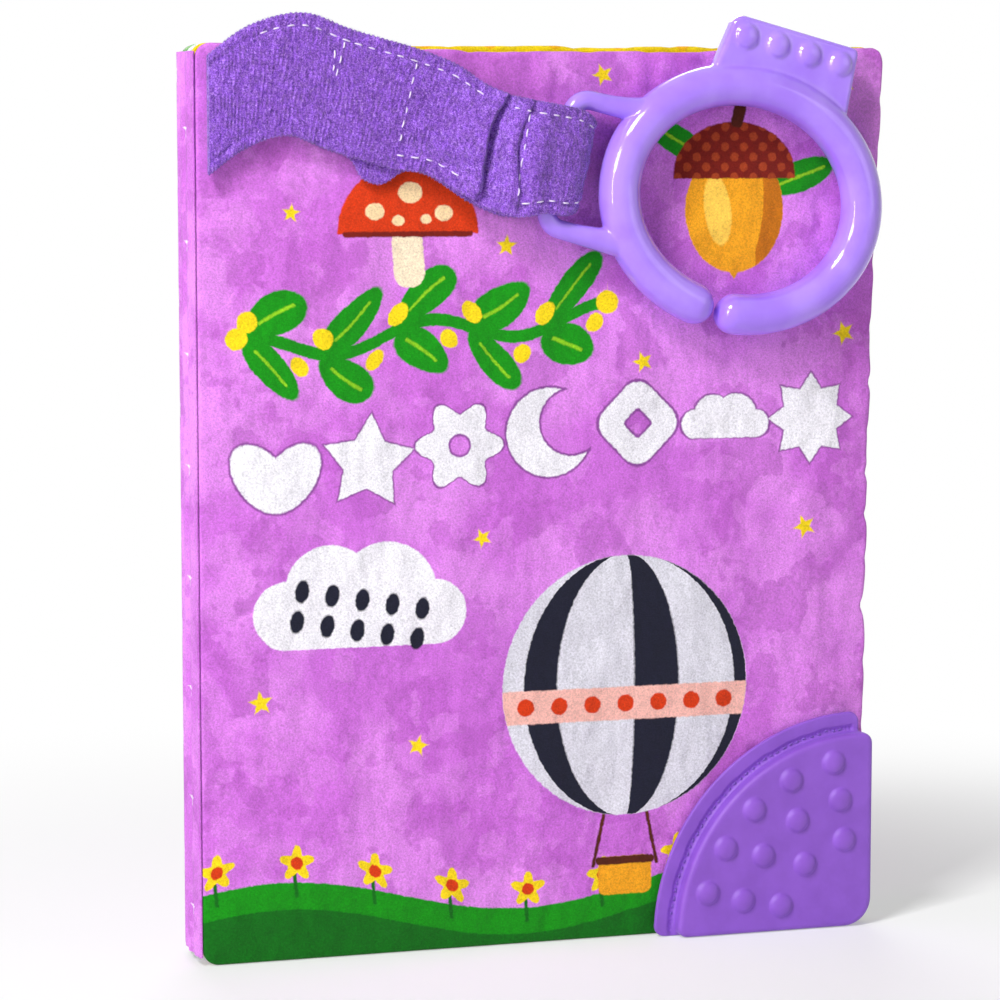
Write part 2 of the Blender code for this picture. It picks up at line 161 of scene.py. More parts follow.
def run_lengths(points):
    """How far each point lies along the line through all of them."""
    steps = np.linalg.norm(np.diff(points, axis=0), axis=1)
    return np.concatenate([[0], np.cumsum(steps)])


def ripple(along, wavelength, seed):
    """A smooth uneven wave between -1 and 1."""
    total = 0
    for k, (tight, weight) in enumerate(RIPPLE_WAVES):
        turn = 2 * math.pi * along * tight / wavelength
        total = total + weight * np.sin(turn + seed * 2.4 * (k + 1) + k)
    return total


def lumps(along, across, wavelength, seed):
    """A rolling surface of waves in many directions, mostly between -1 and 1."""
    chance = np.random.default_rng(seed)
    total = 0
    for _ in range(LUMP_WAVES):
        turn, phase = chance.uniform(0, 2 * math.pi, 2)
        ahead = along * math.cos(turn) + across * math.sin(turn)
        stretch = wavelength * chance.uniform(0.7, 1.4)
        total = total + np.cos(2 * math.pi * ahead / stretch + phase)
    return total / math.sqrt(LUMP_WAVES)


# Meshes

def placed(name, data):
    """A new object with this data, in the scene."""
    made = bpy.data.objects.new(name, data)
    bpy.context.scene.collection.objects.link(made)
    return made


def add_mesh(name, vertices, faces, finish=None):
    """A piece made of points and faces, turned outward and shaded smooth."""
    mesh = bpy.data.meshes.new(name)
    mesh.from_pydata(np.asarray(vertices, float).reshape(-1, 3).tolist(), [], faces)
    form = bmesh.new()
    form.from_mesh(mesh)
    bmesh.ops.recalc_face_normals(form, faces=form.faces)
    form.to_mesh(mesh)
    form.free()
    mesh.shade_smooth()
    made = placed(name, mesh)
    if finish is not None:
        mesh.materials.append(finish)
    return made


def grid_faces(rows, columns, start=0, wrap=False):
    """Quads of a grid of rows x columns points; wrap joins the last column to the first."""
    faces = []
    for row in range(rows - 1):
        for column in range(columns if wrap else columns - 1):
            after = (column + 1) % columns
            a, b = start + row * columns, start + (row + 1) * columns
            faces.append((a + column, a + after, b + after, b + column))
    return faces


def capped_faces(rows, sides, start=0):
    """Faces of a tube of rows of points, closed at both ends."""
    last = start + (rows - 1) * sides
    return grid_faces(rows, sides, start, wrap=True) + [
        tuple(start + n for n in range(sides)), tuple(last + n for n in reversed(range(sides)))]


def shell(name, outer, inner, finish):
    """A sheet with thickness between two grids of points of one size."""
    rows, columns = outer.shape[:2]
    count = rows * columns
    faces = grid_faces(rows, columns) + grid_faces(rows, columns, count)
    rim = list(range(columns))
    rim += [row * columns + columns - 1 for row in range(1, rows)]
    rim += [(rows - 1) * columns + k for k in range(columns - 2, -1, -1)]
    rim += [row * columns for row in range(rows - 2, 0, -1)]
    for here, there in zip(rim, rim[1:] + rim[:1]):
        faces.append((here, there, there + count, here + count))
    points = np.concatenate([outer.reshape(-1, 3), inner.reshape(-1, 3)])
    return add_mesh(name, points, faces, finish)


def evaluated(made):
    """Applies the piece's modifiers to its mesh."""
    graph = bpy.context.evaluated_depsgraph_get()
    made.data = bpy.data.meshes.new_from_object(made.evaluated_get(graph))
    made.modifiers.clear()
    return made


def merged(name, others, finish):
    """Puts the meshes of the others in one new piece and removes them."""
    form = bmesh.new()
    for other in others:
        form.from_mesh(other.data)
        bpy.data.objects.remove(other, do_unlink=True)
    mesh = bpy.data.meshes.new(name)
    form.to_mesh(mesh)
    form.free()
    mesh.shade_smooth()
    mesh.materials.clear()
    mesh.materials.append(finish)
    return placed(name, mesh)


def moulded(made, voxel, rounds):
    """Fuses overlapping solids into one skin, with small fillets where they meet."""
    remesh = made.modifiers.new("fuse", "REMESH")
    remesh.mode = "VOXEL"
    remesh.voxel_size = voxel
    remesh.use_smooth_shade = True
    smooth = made.modifiers.new("fillet", "SMOOTH")
    smooth.iterations = rounds
    smooth.factor = 0.5
    return evaluated(made)


# Leaves

EDGE_LINES = [d * MM for d in (0, 0.1, 0.3, 0.6, 1, 1.6, 2.4, 3.4, 4.6)]
COVER_STEP, INNER_STEP = 1.1 * MM, 2.2 * MM
SEAM_OUTSIDE, SEAM_INSIDE, SEAM_ROLL = 0.14 * MM, 0.04 * MM, 0.9 * MM
PAD_STEP, PAD_INSET, PAD_RIM = 3 * MM, 5 * MM, 1.2 * MM
GATHER_PITCH, GATHER_DRIFT, GATHER_WIDTH = 12.5 * MM, 17 * MM, 0.42
# A seam's waves: how high, how long, and how far the gathers draw it in
FORE_WAVES = (0.45 * MM, 34 * MM, 0.8 * MM)
TOP_WAVES = (0.35 * MM, 41 * MM, 0.5 * MM)
# How deep the cloth sinks in gathers, beside seams, in long waves and in crumples
GATHER_DENT, SEAM_DENT, WAVE_DENT, CRUMPLE_DENT = 1.2 * MM, 0.5 * MM, 0.35 * MM, 0.55 * MM
MOST_SUNK = 0.8  # of the swell
SLANT_WAVE, FOLD_REACH, SOFT_WAVE, FIRM_EDGE = 19 * MM, 13 * MM, 21 * MM, 2 * MM
SOFT_BAND = (4 * MM, 8 * MM)  # where the dent beside a seam is deepest, and its width
STRIP_ROWS = 17


def crown_share(to_side, to_end):
    """How far a padded leaf has risen at its distances from its seams, from 0 to 1."""
    flat_side, flat_end = (1 - rounded(d, SWELL_REACH) for d in (to_side, to_end))
    lost = flat_side ** SWELL_BLEND + flat_end ** SWELL_BLEND
    return held(1 - lost ** (1 / SWELL_BLEND))


def lines_across(length, step, inset=0):
    """Places of grid lines from 0 to length, close together near both edges."""
    near = [d for d in EDGE_LINES if d < length / 2]
    first = near[-1] + step
    count = max(2, round((length - 2 * first) / step) + 1)
    middle = np.linspace(first, length - first, count)
    lines = np.concatenate([near, middle, length - np.array(near[::-1])])
    return inset + lines


def round_corners(x, z, width, height, radius):
    """Pulls the grid's corner squares into quarter discs."""
    across = np.maximum(radius - x, 0) - np.maximum(x - (width - radius), 0)
    up = np.maximum(radius - z, 0) - np.maximum(z - (height - radius), 0)
    a, b = across / radius, up / radius
    pulled_a = a * np.sqrt(1 - b * b / 2)
    pulled_b = b * np.sqrt(1 - a * a / 2)
    return x + (a - pulled_a) * radius, z + (b - pulled_b) * radius


def gathers(along, seed):
    """Narrow folds where the seam draws the cloth in, from 0 between them to 1 in them."""
    phase = along / GATHER_PITCH + 0.3 * np.sin(along / GATHER_DRIFT + seed) + seed * 0.37
    weight = 0.65 + 0.35 * np.sin(np.floor(phase + 0.5) * 2.4 + seed)
    return weight * hump(np.sin(math.pi * phase), 0, GATHER_WIDTH)


def wandered(along, waves, seeds, outward, ends):
    """How far a seam leaves its line. It fades inward and towards the seam's ends."""
    high, long, draw = waves
    moved = high * ripple(along, long, seeds[0]) - draw * gathers(along, seeds[1])
    return moved * (outward ** 6) * np.sin(math.pi * ends) ** 0.5


class LeafGrid:
    """Points over one leaf, with their distances from its edges."""

    def __init__(self, number, step, inset=0):
        u = lines_across(COVER_WIDTH - 2 * inset, step, inset) / COVER_WIDTH
        v = lines_across(COVER_HEIGHT - 2 * inset, step, inset) / COVER_HEIGHT
        u, v = np.meshgrid(u, v)
        width = COVER_WIDTH - FORE_DRAW_IN * (1 - v ** 3)
        height = COVER_HEIGHT - TOP_DRAW_INS[number] * 4 * u * (1 - u)
        x, z = u * width, v * height
        self.to_spine, self.to_fore = x, width - x
        self.to_base, self.to_top = z, height - z
        self.to_side = np.minimum(x, width - x)
        self.to_end = np.minimum(z, height - z)
        self.to_edge = np.minimum(self.to_side, self.to_end)
        self.share = crown_share(self.to_side, self.to_end)
        x, z = round_corners(x, z, width, height, CORNER_ROUND)
        self.x = x + wandered(z, FORE_WAVES, (number + 1, number), u, v)
        self.z = z + wandered(x, TOP_WAVES, (number + 5, number + 4), v, u)
        self.seam_y = SEAM_Y[number]
        self.number = number

    def points(self, depth):
        return np.stack([SPINE_X + self.x, self.seam_y + depth, self.z], axis=-1)

    def dents(self, seed):
        """How far the cloth sinks: gathers along the seams and a shallow crumple inside."""
        seams = ((self.z, self.to_fore, self.number), (self.x, self.to_top, 4 + self.number),
                 (self.x, self.to_base, 7), (self.z, self.to_spine, 9))
        total = 0
        for along, away, k in seams:
            slanted = along + 0.3 * away * np.sin(along / SLANT_WAVE + seed)
            fold = gathers(slanted, k) * np.exp(-(away / FOLD_REACH) ** 1.5)
            soft = (0.5 + 0.5 * ripple(along, SOFT_WAVE, seed + k)) * hump(away, *SOFT_BAND)
            total = total + GATHER_DENT * fold + SEAM_DENT * soft
        waves = WAVE_DENT * self.crossed((0.4, 62 * MM), (-0.3, 74 * MM), seed)
        crumples = CRUMPLE_DENT * self.crossed((-0.7, 27 * MM), (0.5, 38 * MM), seed + 2)
        total = total * held(self.to_edge / FIRM_EDGE) + self.share * (waves + crumples)
        return np.minimum(total, MOST_SUNK * CROWN * self.share)

    def crossed(self, level, upright, seed):
        """Two crossing waves, from 0 to 1. Each one has a lean and a length."""
        along = ripple(self.x + level[0] * self.z, level[1], seed)
        return 0.5 + 0.5 * (along * ripple(self.z + upright[0] * self.x, upright[1], seed + 1))


def cloth_panel(number, side, step, finish):
    """One cloth of a leaf, from its rolled seam to its crown. side is -1 in front, 1 behind."""
    leaf = LEAVES[number]
    part_name = (FRONT_NAMES if side < 0 else BACK_NAMES)[number]
    grid = LeafGrid(number, step)
    roll = rounded(grid.to_edge, SEAM_ROLL)
    swell = CROWN * grid.share - grid.dents(number * 2 + (side > 0))
    outer = SEAM_OUTSIDE + (LAYER_GAP / 2 + CLOTH - SEAM_OUTSIDE) * roll + swell
    inner = SEAM_INSIDE + (LAYER_GAP / 2 - SEAM_INSIDE) * roll + swell
    made = shell(f"{leaf}_{part_name}_sewn", grid.points(side * outer),
                 grid.points(side * inner), finish)
    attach(made, leaf)
    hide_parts(f"{leaf}_{part_name}")
    return made


def wadding_pad(number, finish):
    """The soft filling of a leaf, a low pad with uneven faces and round edges."""
    leaf = LEAVES[number]
    grid = LeafGrid(number, PAD_STEP, PAD_INSET)
    uneven = 0.12 * MM * (1 + ripple(grid.x, 9 * MM, 3) * ripple(grid.z, 11 * MM, number))
    front = -(LAYER_GAP / 2 + CROWN * grid.share) + 2 * LAYER_GAP + FILM
    back = LAYER_GAP / 2 + CROWN * grid.share - LAYER_GAP
    middle = (front + back) / 2
    rim = 0.15 + 0.85 * rounded(grid.to_edge - PAD_INSET, PAD_RIM)
    sunk = np.maximum(grid.dents(number * 2), grid.dents(number * 2 + 1)) * 0.9
    half = np.maximum((back - front) / 2 - uneven - sunk, 0.2 * MM) * rim
    made = shell(f"{leaf}_wadding_pad", grid.points(middle - half),
                 grid.points(middle + half), finish)
    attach(made, leaf)
    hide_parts(f"{leaf}_wadding")
    return made


def crinkle_film(number, finish):
    """The thin crisp film, creased into small flat facets."""
    leaf = LEAVES[number]
    grid = LeafGrid(number, PAD_STEP, PAD_INSET)
    crease = np.abs(ripple(grid.x + 0.6 * grid.z, 17 * MM, number)) + np.abs(
        ripple(grid.z - 0.5 * grid.x, 21 * MM, number + 3))
    depth = LAYER_GAP / 2 - CROWN * grid.share + grid.dents(number * 2) + 0.09 * MM * (crease - 0.7)
    made = shell(f"{leaf}_crinkle_film_creased", grid.points(depth),
                 grid.points(depth + FILM * 0.5), finish)
    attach(made, leaf)
    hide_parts(f"{leaf}_crinkle_film")
    return made


def spine_strip(number, finish):
    """The spine cloth between two neighbouring leaves, bowed outward most between them."""
    front_y = SEAM_Y[0] - LAYER_GAP / 2 - CLOTH
    back_y = SEAM_Y[3] + LAYER_GAP / 2 + CLOTH
    low = front_y if number == 0 else SEAM_Y[number]
    high = back_y if number == 2 else SEAM_Y[number + 1]
    y = np.linspace(low, high, STRIP_ROWS)
    z = lines_across(COVER_HEIGHT - 2 * SPINE_INSET, 4 * MM, SPINE_INSET)
    y, z = np.meshgrid(y, z)
    t = (y - front_y) / (back_y - front_y)
    leaf_phase = (y - SEAM_Y[0]) / LEAF_PITCH
    between = np.sin(math.pi * leaf_phase) ** 2
    swell = SPINE_BOW * 4 * t * (1 - t) * (0.3 + 0.7 * between)
    swell = swell + 0.12 * MM * ripple(z, 19 * MM, 2) * between
    inside = SPINE_X - 0.05 * MM - swell
    outer = np.stack([inside - CLOTH, y, z], axis=-1)
    inner = np.stack([inside, y, z], axis=-1)
    made = shell(f"spine_cloth_{number + 1}", outer, inner, finish)
    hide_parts("spine_panel")
    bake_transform(made)
    return made


# Ring

HOOP_STEPS, HOOP_SIDES = 220, 40
DOME_STEPS, DOME_START = 7, 0.08
BAIL_STEPS, BAIL_SIDES = 6, 24
ARM_SIZE = 0.42  # of the arms' radius, as a share of the bail's tube
# For each web, in mm: how far along the arm it starts, how far beside the arm it meets the
# hoop, and its radius
WEBS = ((-31, -5, 2.0), (-28, -2.4, 2.4), (-29, 3.6, 1.7))
WEB_STEPS, WEB_SIDES, WEB_SINK = 4, 16, 2 * MM
PLATE_EDGE_STEPS = 4
TAB_SINK = RING_TUBE * 0.8  # that the tab's foot lies inside the hoop
TAB_EDGE = 1.1 * MM
RING_VOXEL, RING_FILLETS = 0.33 * MM, 6


def ring_place(u, v, y=0.0):
    """A place in the ring's own frame, u away from the strap and v towards the tab."""
    cos, sin = math.cos(RING_TILT), math.sin(RING_TILT)
    x = SPINE_X + RING_FROM_SPINE + u * cos - v * sin
    return Vector((x, RING_Y + y, COVER_HEIGHT - RING_BELOW_TOP + u * sin + v * cos))


def tube(name, points, radii, sides):
    """A round tube along points in the ring's plane, with closed ends."""
    points = [Vector(p) for p in points]
    side = Vector((0, 1, 0))
    vertices = []
    for k, point in enumerate(points):
        before, after = points[max(k - 1, 0)], points[min(k + 1, len(points) - 1)]
        up = (after - before).normalized().cross(side).normalized()
        for n in range(sides):
            turn = 2 * math.pi * n / sides
            vertices.append(point + radii[k] * (math.cos(turn) * side + math.sin(turn) * up))
    return add_mesh(name, [tuple(v) for v in vertices], capped_faces(len(points), sides))


def hoop():
    """The open hoop, whose ends are domes on both sides of its mouth."""
    radius = RING_TUBE / 2
    half_mouth = RING_MOUTH / 2 / RING_WIDE
    quarters = [math.pi / 2 * k / DOME_STEPS for k in range(DOME_STEPS)]
    ends = [(half_mouth + radius * (1 - math.cos(quarter)) / RING_WIDE,
             max(math.sin(quarter), DOME_START) * radius) for quarter in quarters]
    start = half_mouth + radius / RING_WIDE
    bow = [(start + (2 * math.pi - 2 * start) * k / HOOP_STEPS, radius)
           for k in range(HOOP_STEPS + 1)]
    places, radii = zip(*ends, *bow, *[(2 * math.pi - t, size) for t, size in reversed(ends)])
    points = [ring_place(-RING_WIDE * math.sin(t), -RING_TALL * math.cos(t)) for t in places]
    return tube("hoop", points, radii, HOOP_SIDES)


def bent(start, pulled_to, end, t):
    """A place on the curve from start to end that is pulled towards a third place."""
    return tuple((1 - t) ** 2 * a + 2 * t * (1 - t) * b + t * t * c
                 for a, b, c in zip(start, pulled_to, end))


def hoop_u(v):
    """Where the hoop's middle line is, on the strap's side, at a height v."""
    return -RING_WIDE * math.sqrt(1 - (v / RING_TALL) ** 2)


def half_bail(sign):
    """Places and tube sizes of one arm, from the hoop round its knee to the bar."""
    half = BAIL_LENGTH / 2
    arm_v = half + ARM_SPREAD
    root_v = sign * arm_v - BAIL_DROP / 2
    root = (0.5 * MM + hoop_u(root_v), root_v)
    mid = ((-BAIL_REACH + BAIL_CORNER + hoop_u(arm_v)) / 2,
           sign * (half + ARM_SPREAD / 3) - BAIL_DROP)
    knee = (-BAIL_REACH + BAIL_CORNER, sign * half - BAIL_DROP)
    places, sizes = [root], [0.75 * BAIL_TUBE]
    for k in range(1, BAIL_STEPS + 1):
        t = k / BAIL_STEPS
        places.append(bent(root, mid, knee, t))
        sizes.append(BAIL_TUBE * (ARM_SIZE + 0.3 * (1 - t) ** 2))
    for k in range(1, BAIL_STEPS + 1):
        turn = math.radians(90) * k / BAIL_STEPS
        places.append((-BAIL_REACH + BAIL_CORNER - BAIL_CORNER * math.sin(turn),
                       sign * (half - BAIL_CORNER + BAIL_CORNER * math.cos(turn)) - BAIL_DROP))
        sizes.append(BAIL_TUBE * ARM_SIZE)
    places.append((-BAIL_REACH, sign * (half - BAIL_CORNER - 2 * MM) - BAIL_DROP))
    sizes.append(BAIL_TUBE / 2)
    return places, sizes


def bail():
    """The bar that the strap runs round, on two arms that widen into the hoop."""
    (places, sizes), (low_places, low_sizes) = half_bail(1), half_bail(-1)
    points = [ring_place(u, v) for u, v in places + low_places[::-1]]
    return tube("bail", points, sizes + low_sizes[::-1], BAIL_SIDES)


def webs():
    """Short struts that fill the corners between the bail's arms and the hoop."""
    made = []
    for sign in (1, -1):
        arm_v = sign * (BAIL_LENGTH / 2 + ARM_SPREAD * 0.55) - BAIL_DROP * 0.85
        for spot, beside, size in WEBS:
            hoop_v = arm_v + sign * beside * MM
            arm, foot = (spot * MM, arm_v), (hoop_u(hoop_v) + WEB_SINK, hoop_v)
            points = [ring_place(*[a + (b - a) * k / WEB_STEPS for a, b in zip(arm, foot)])
                      for k in range(WEB_STEPS + 1)]
            made.append(tube("web", points, [size * MM] * (WEB_STEPS + 1), WEB_SIDES))
    return made


def arc(centre, radius, start, end, steps):
    return [(centre[0] + radius * math.cos(start + (end - start) * k / steps),
             centre[1] + radius * math.sin(start + (end - start) * k / steps))
            for k in range(steps + 1)]


def plate(name, outline, front_y, back_y, round_edge):
    """A plate with the given outline of (x, z) points and round edges."""
    count = len(outline)
    vertices = [(x, front_y, z) for x, z in outline] + [(x, back_y, z) for x, z in outline]
    faces = [tuple(range(count)), tuple(range(2 * count - 1, count - 1, -1))]
    for k in range(count):
        after = (k + 1) % count
        faces.append((k, after, after + count, k + count))
    made = add_mesh(name, vertices, faces)
    bevel = made.modifiers.new("round_edge", "BEVEL")
    bevel.width = round_edge
    bevel.segments = PLATE_EDGE_STEPS
    bevel.limit_method = "ANGLE"
    bevel.angle_limit = math.radians(60)
    return evaluated(made)


def stud(centre):
    """A low dome that stands out of a plate towards -Y."""
    form = bmesh.new()
    bmesh.ops.create_uvsphere(form, u_segments=32, v_segments=16, radius=STUD_WIDTH / 2)
    mesh = bpy.data.meshes.new("stud")
    form.to_mesh(mesh)
    form.free()
    squash = Matrix.Diagonal((1, STUD_RISE / (STUD_WIDTH / 2), 1, 1))
    mesh.transform(Matrix.Translation(centre) @ squash)
    return placed("stud", mesh)


def tab():
    foot = RING_TALL + RING_TUBE / 2 - TAB_SINK
    left, right = TAB_SHIFT - TAB_WIDTH / 2, TAB_SHIFT + TAB_WIDTH / 2
    outline = [(left - TAB_FLARE, foot), (right + TAB_FLARE / 2, foot)]
    outline += arc((right - TAB_CORNER / 2, TAB_REACH - TAB_CORNER / 2), TAB_CORNER / 2,
                   0, math.pi / 2, 6)
    outline += arc((left + TAB_CORNER, TAB_REACH - TAB_CORNER), TAB_CORNER,
                   math.pi / 2, math.pi, 8)
    places = [ring_place(u, v) for u, v in outline]
    half = TAB_THICKNESS / 2
    slab = plate("tab", [(p.x, p.z) for p in places], RING_Y - half, RING_Y + half, TAB_EDGE)
    return [slab] + [stud(ring_place(left + TAB_WIDTH / TAB_STUDS * (k + 0.5),
                                     TAB_REACH - TAB_STUD_INSET, -half))
                     for k in range(TAB_STUDS)]


def teether_ring(finish):
    made = merged("teether_ring_moulded", [hoop(), bail()] + webs() + tab(), finish)
    made = moulded(made, RING_VOXEL, RING_FILLETS)
    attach(made, "ring")
    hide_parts("teether_ring")
    return made


# Strap

# The strap's upper and lower edge in mm from the spine and the base, from its sewn end to its
# loop. The line from one to the other is the way its ribs run.
STRAP_EDGES = (
    ((2.4, 211.9), (2.4, 184.9)),
    ((12, 218.6), (10.5, 190.8)),
    ((24.4, 221.6), (20.5, 194)),
    ((36, 217.8), (30.5, 190.6)),
    ((52, 213.4), (44.5, 186.4)),
    ((61, 210), (53, 185.2)),
    ((66.5, 206), (58.8, 182)),
    ((71.4, 203.6), (63.6, 178.8)),
    ((77.4, 202), (72.6, 175)),
    ((85.5, 200.6), (80.8, 175.9)),
)
CROSS_SEAM, CREASE, LOOP_SEAM = 4, 7, 8
LOOP_TILT = math.radians(-11)
SEWN_DOWN = 0.38 * MM  # that the sewn end lies closer to the cover
LOOP_SLACK = 4.5 * MM
LOOP_CORNER = 2.2 * MM  # that the loop's end is narrower at each edge
TAIL_FROM, TAIL_TO, TAIL_DROP = 40 * MM, 51 * MM, 4.2 * MM
STITCH_LINE = 0.845
RIB_PITCH = 1.05 * MM
RIB_DEPTH = 0.2 * MM
TUFT_DEPTH, TUFT_WAVE = 0.07 * MM, 1.5 * MM
MAT_DEPTH, MAT_WAVE = 0.1 * MM, 5 * MM
CLEAR_WAVE = 9 * MM  # between patches where the ribs are clear
# Distance from the crease, and how far the upper layer is pushed along and out there, in mm
STRAP_FOLDS = ((-22, 0, 0), (-14, 0, 0.5), (-8.5, 0, 2.1), (-5, 0.3, 3.6), (-2.8, 0.9, 4.1),
               (-1.5, 1.4, 3.6), (-0.5, 1, 2.2), (0, 0, 1), (0.5, -1.1, 0.3),
               (0.9, -1.6, 0), (1.8, -1.1, -0.1), (3.2, -0.2, 0.4), (5, 0, 1.2), (6.8, 0.2, 1.8),
               (8.2, 0.3, 1.1), (8.9, 0, 0), (9.6, 0, 0.1), (11.5, 0, 1), (14, 0, 1.2), (30, 0, 1))
FOLD_FADE = 5 * MM  # over which the folds end before the loop
CREASE_BOW = 1.5  # mm that the crease bends across the band
PER_SPAN = 40  # steps between two stations, and round the loop
SEWN_REACH = 8 * MM
LIFT_FROM, LIFT_REACH = 62 * MM, 15 * MM  # where the band leaves the cover for the bar
LOOP_RADIUS = BAIL_TUBE / 2 + REST_GAP + STRAP_LAYER / 2
ROW_STEP = 0.24 * MM
BAND_COLUMNS, BAND_EDGE_STEPS = 53, 7
BAND_SOFTENING, THREAD_SOFTENING = 40, 4
PILE_ROUGH = 0.05 * MM
# The upper layer's padding: its height, the ditch along the stitches and the edge's roll
PILLOW, DITCH, EDGE_ROLL = 0.25 * MM, 0.32 * MM, 0.2 * MM
NAP_FIBRES = 38000
NAP_LENGTH = 0.48 * MM
NAP_RADIUS = 0.055 * MM
NAP_SCATTER = 0.45
NAP_LEAN, NAP_LEAN_WAVE = 0.5, 2.4 * MM
NAP_END_ROWS = 17  # rows beside the sewn end that stay bare, so that it clears the spine
THREAD_RADIUS = 0.2 * MM
THREAD_SIDES, THREAD_RINGS = 8, 7
RUNNING_STITCH, RUNNING_GAP = 2.1 * MM, 1.5 * MM
# Stitches along the band: first and last station, and the share across
STITCHED_ALONG = ((1.2, 6.4, STITCH_LINE), (7.5, 9.42, STITCH_LINE), (8.15, 9.42, -STITCH_LINE),
                  (4.1, 6.2, -STITCH_LINE))
# Stitches over the band: station, how far they lean along it, and the shares across
STITCHED_OVER = ((CROSS_SEAM, 0.08, 0.8, -0.8), (2.9, -0.05, 0.78, 0.1), (2.75, 0.06, 0.6, 0.0),
                 (LOOP_SEAM + 0.02, 0, 0.8, -0.86))


def strap_back_y(x, z):
    """The plane just in front of the front cover that the strap's back follows."""
    swell = crown_share(min(x + STRAP_LOOK_AHEAD, COVER_WIDTH / 2),
                        COVER_HEIGHT - min(z, COVER_HEIGHT - SWELL_REACH))
    return SEAM_Y[0] - LAYER_GAP / 2 - CLOTH - CROWN * swell - STRAP_CLEARANCE


def curve_through(knots, per_span):
    """A smooth curve through rows of numbers, and each point's place among the rows."""
    knots = np.array(knots, float)
    slopes = np.gradient(knots, axis=0)
    points, places = [], []
    for span in range(len(knots) - 1):
        for step in range(per_span + (span == len(knots) - 2)):
            t = step / per_span
            a, b, m, n = knots[span], knots[span + 1], slopes[span], slopes[span + 1]
            points.append(a * (2 * t**3 - 3 * t**2 + 1) + m * (t**3 - 2 * t**2 + t)
                          + b * (3 * t**2 - 2 * t**3) + n * (t**3 - t**2))
            places.append(span + t)
    return np.array(points), np.array(places)


def strap_stations():
    """Upper edge, lower edge, depth and place among the stations, all along the band: out
    over the cover, round the bar and back underneath."""
    edges, places = curve_through([upper + lower for upper, lower in STRAP_EDGES], PER_SPAN)
    edges = edges * MM
    out, back = [], []
    for (ux, uz, lx, lz), place in zip(edges, places):
        x, z = (ux + lx) / 2, (uz + lz) / 2
        y = strap_back_y(x, z) + SEWN_DOWN * held(2 - x / SEWN_REACH)
        front_y = y - 1.5 * STRAP_LAYER
        front_y += (RING_Y - LOOP_RADIUS - front_y) * eased((x - LIFT_FROM) / LIFT_REACH)
        out.append((ux, uz, lx, lz, front_y, place))
        share = (x - TAIL_FROM) / (TAIL_TO - TAIL_FROM)
        drop = TAIL_DROP * math.exp(-((share - 0.5) * 2.2) ** 4)
        back.append((ux, uz, lx - drop * 0.25, lz - drop, y - 0.5 * STRAP_LAYER, 0))
    ux, uz, lx, lz = edges[-1]
    fold = []
    for k in range(1, PER_SPAN):
        turn = math.pi * k / PER_SPAN
        ahead = (LOOP_RADIUS + LOOP_SLACK) * math.sin(turn)
        sunk = math.tan(LOOP_TILT) * ahead
        tuck = LOOP_CORNER * math.sin(turn) ** 5
        fold.append((ux + ahead, uz + sunk - tuck, lx + ahead, lz + sunk + tuck,
                     RING_Y - LOOP_RADIUS * math.cos(turn), len(STRAP_EDGES) - 1 + k / PER_SPAN))
    return np.array(out + fold + back[::-1])


def evenly(stations, step):
    """The same rows at even steps along the band's middle."""
    middle = np.stack([(stations[:, 0] + stations[:, 2]) / 2, stations[:, 4],
                       (stations[:, 1] + stations[:, 3]) / 2], axis=1)
    lengths = run_lengths(middle)
    wanted = np.linspace(0, lengths[-1], int(lengths[-1] / step) + 1)
    columns = [np.interp(wanted, lengths, stations[:, k]) for k in range(stations.shape[1])]
    return wanted, np.stack(columns, axis=1)


def softened(values, rounds):
    values = values.copy()
    for _ in range(rounds):
        values[1:-1] = (values[:-2] + 2 * values[1:-1] + values[2:]) / 4
    return values


def band_section():
    """Round a band's section: across from 1 to -1 and back, and out, with the edges' share."""
    flat = np.linspace(1, -1, BAND_COLUMNS)
    turn = np.linspace(0, math.pi, BAND_EDGE_STEPS + 2)[1:-1]
    edge, level = np.ones(len(turn)), 0 * flat
    across = np.concatenate([flat, -edge, -flat, edge])
    beyond = np.concatenate([level, -np.sin(turn), level, np.sin(turn)])
    out = np.concatenate([level + 1, np.cos(turn), level - 1, -np.cos(turn)])
    return across, beyond, out


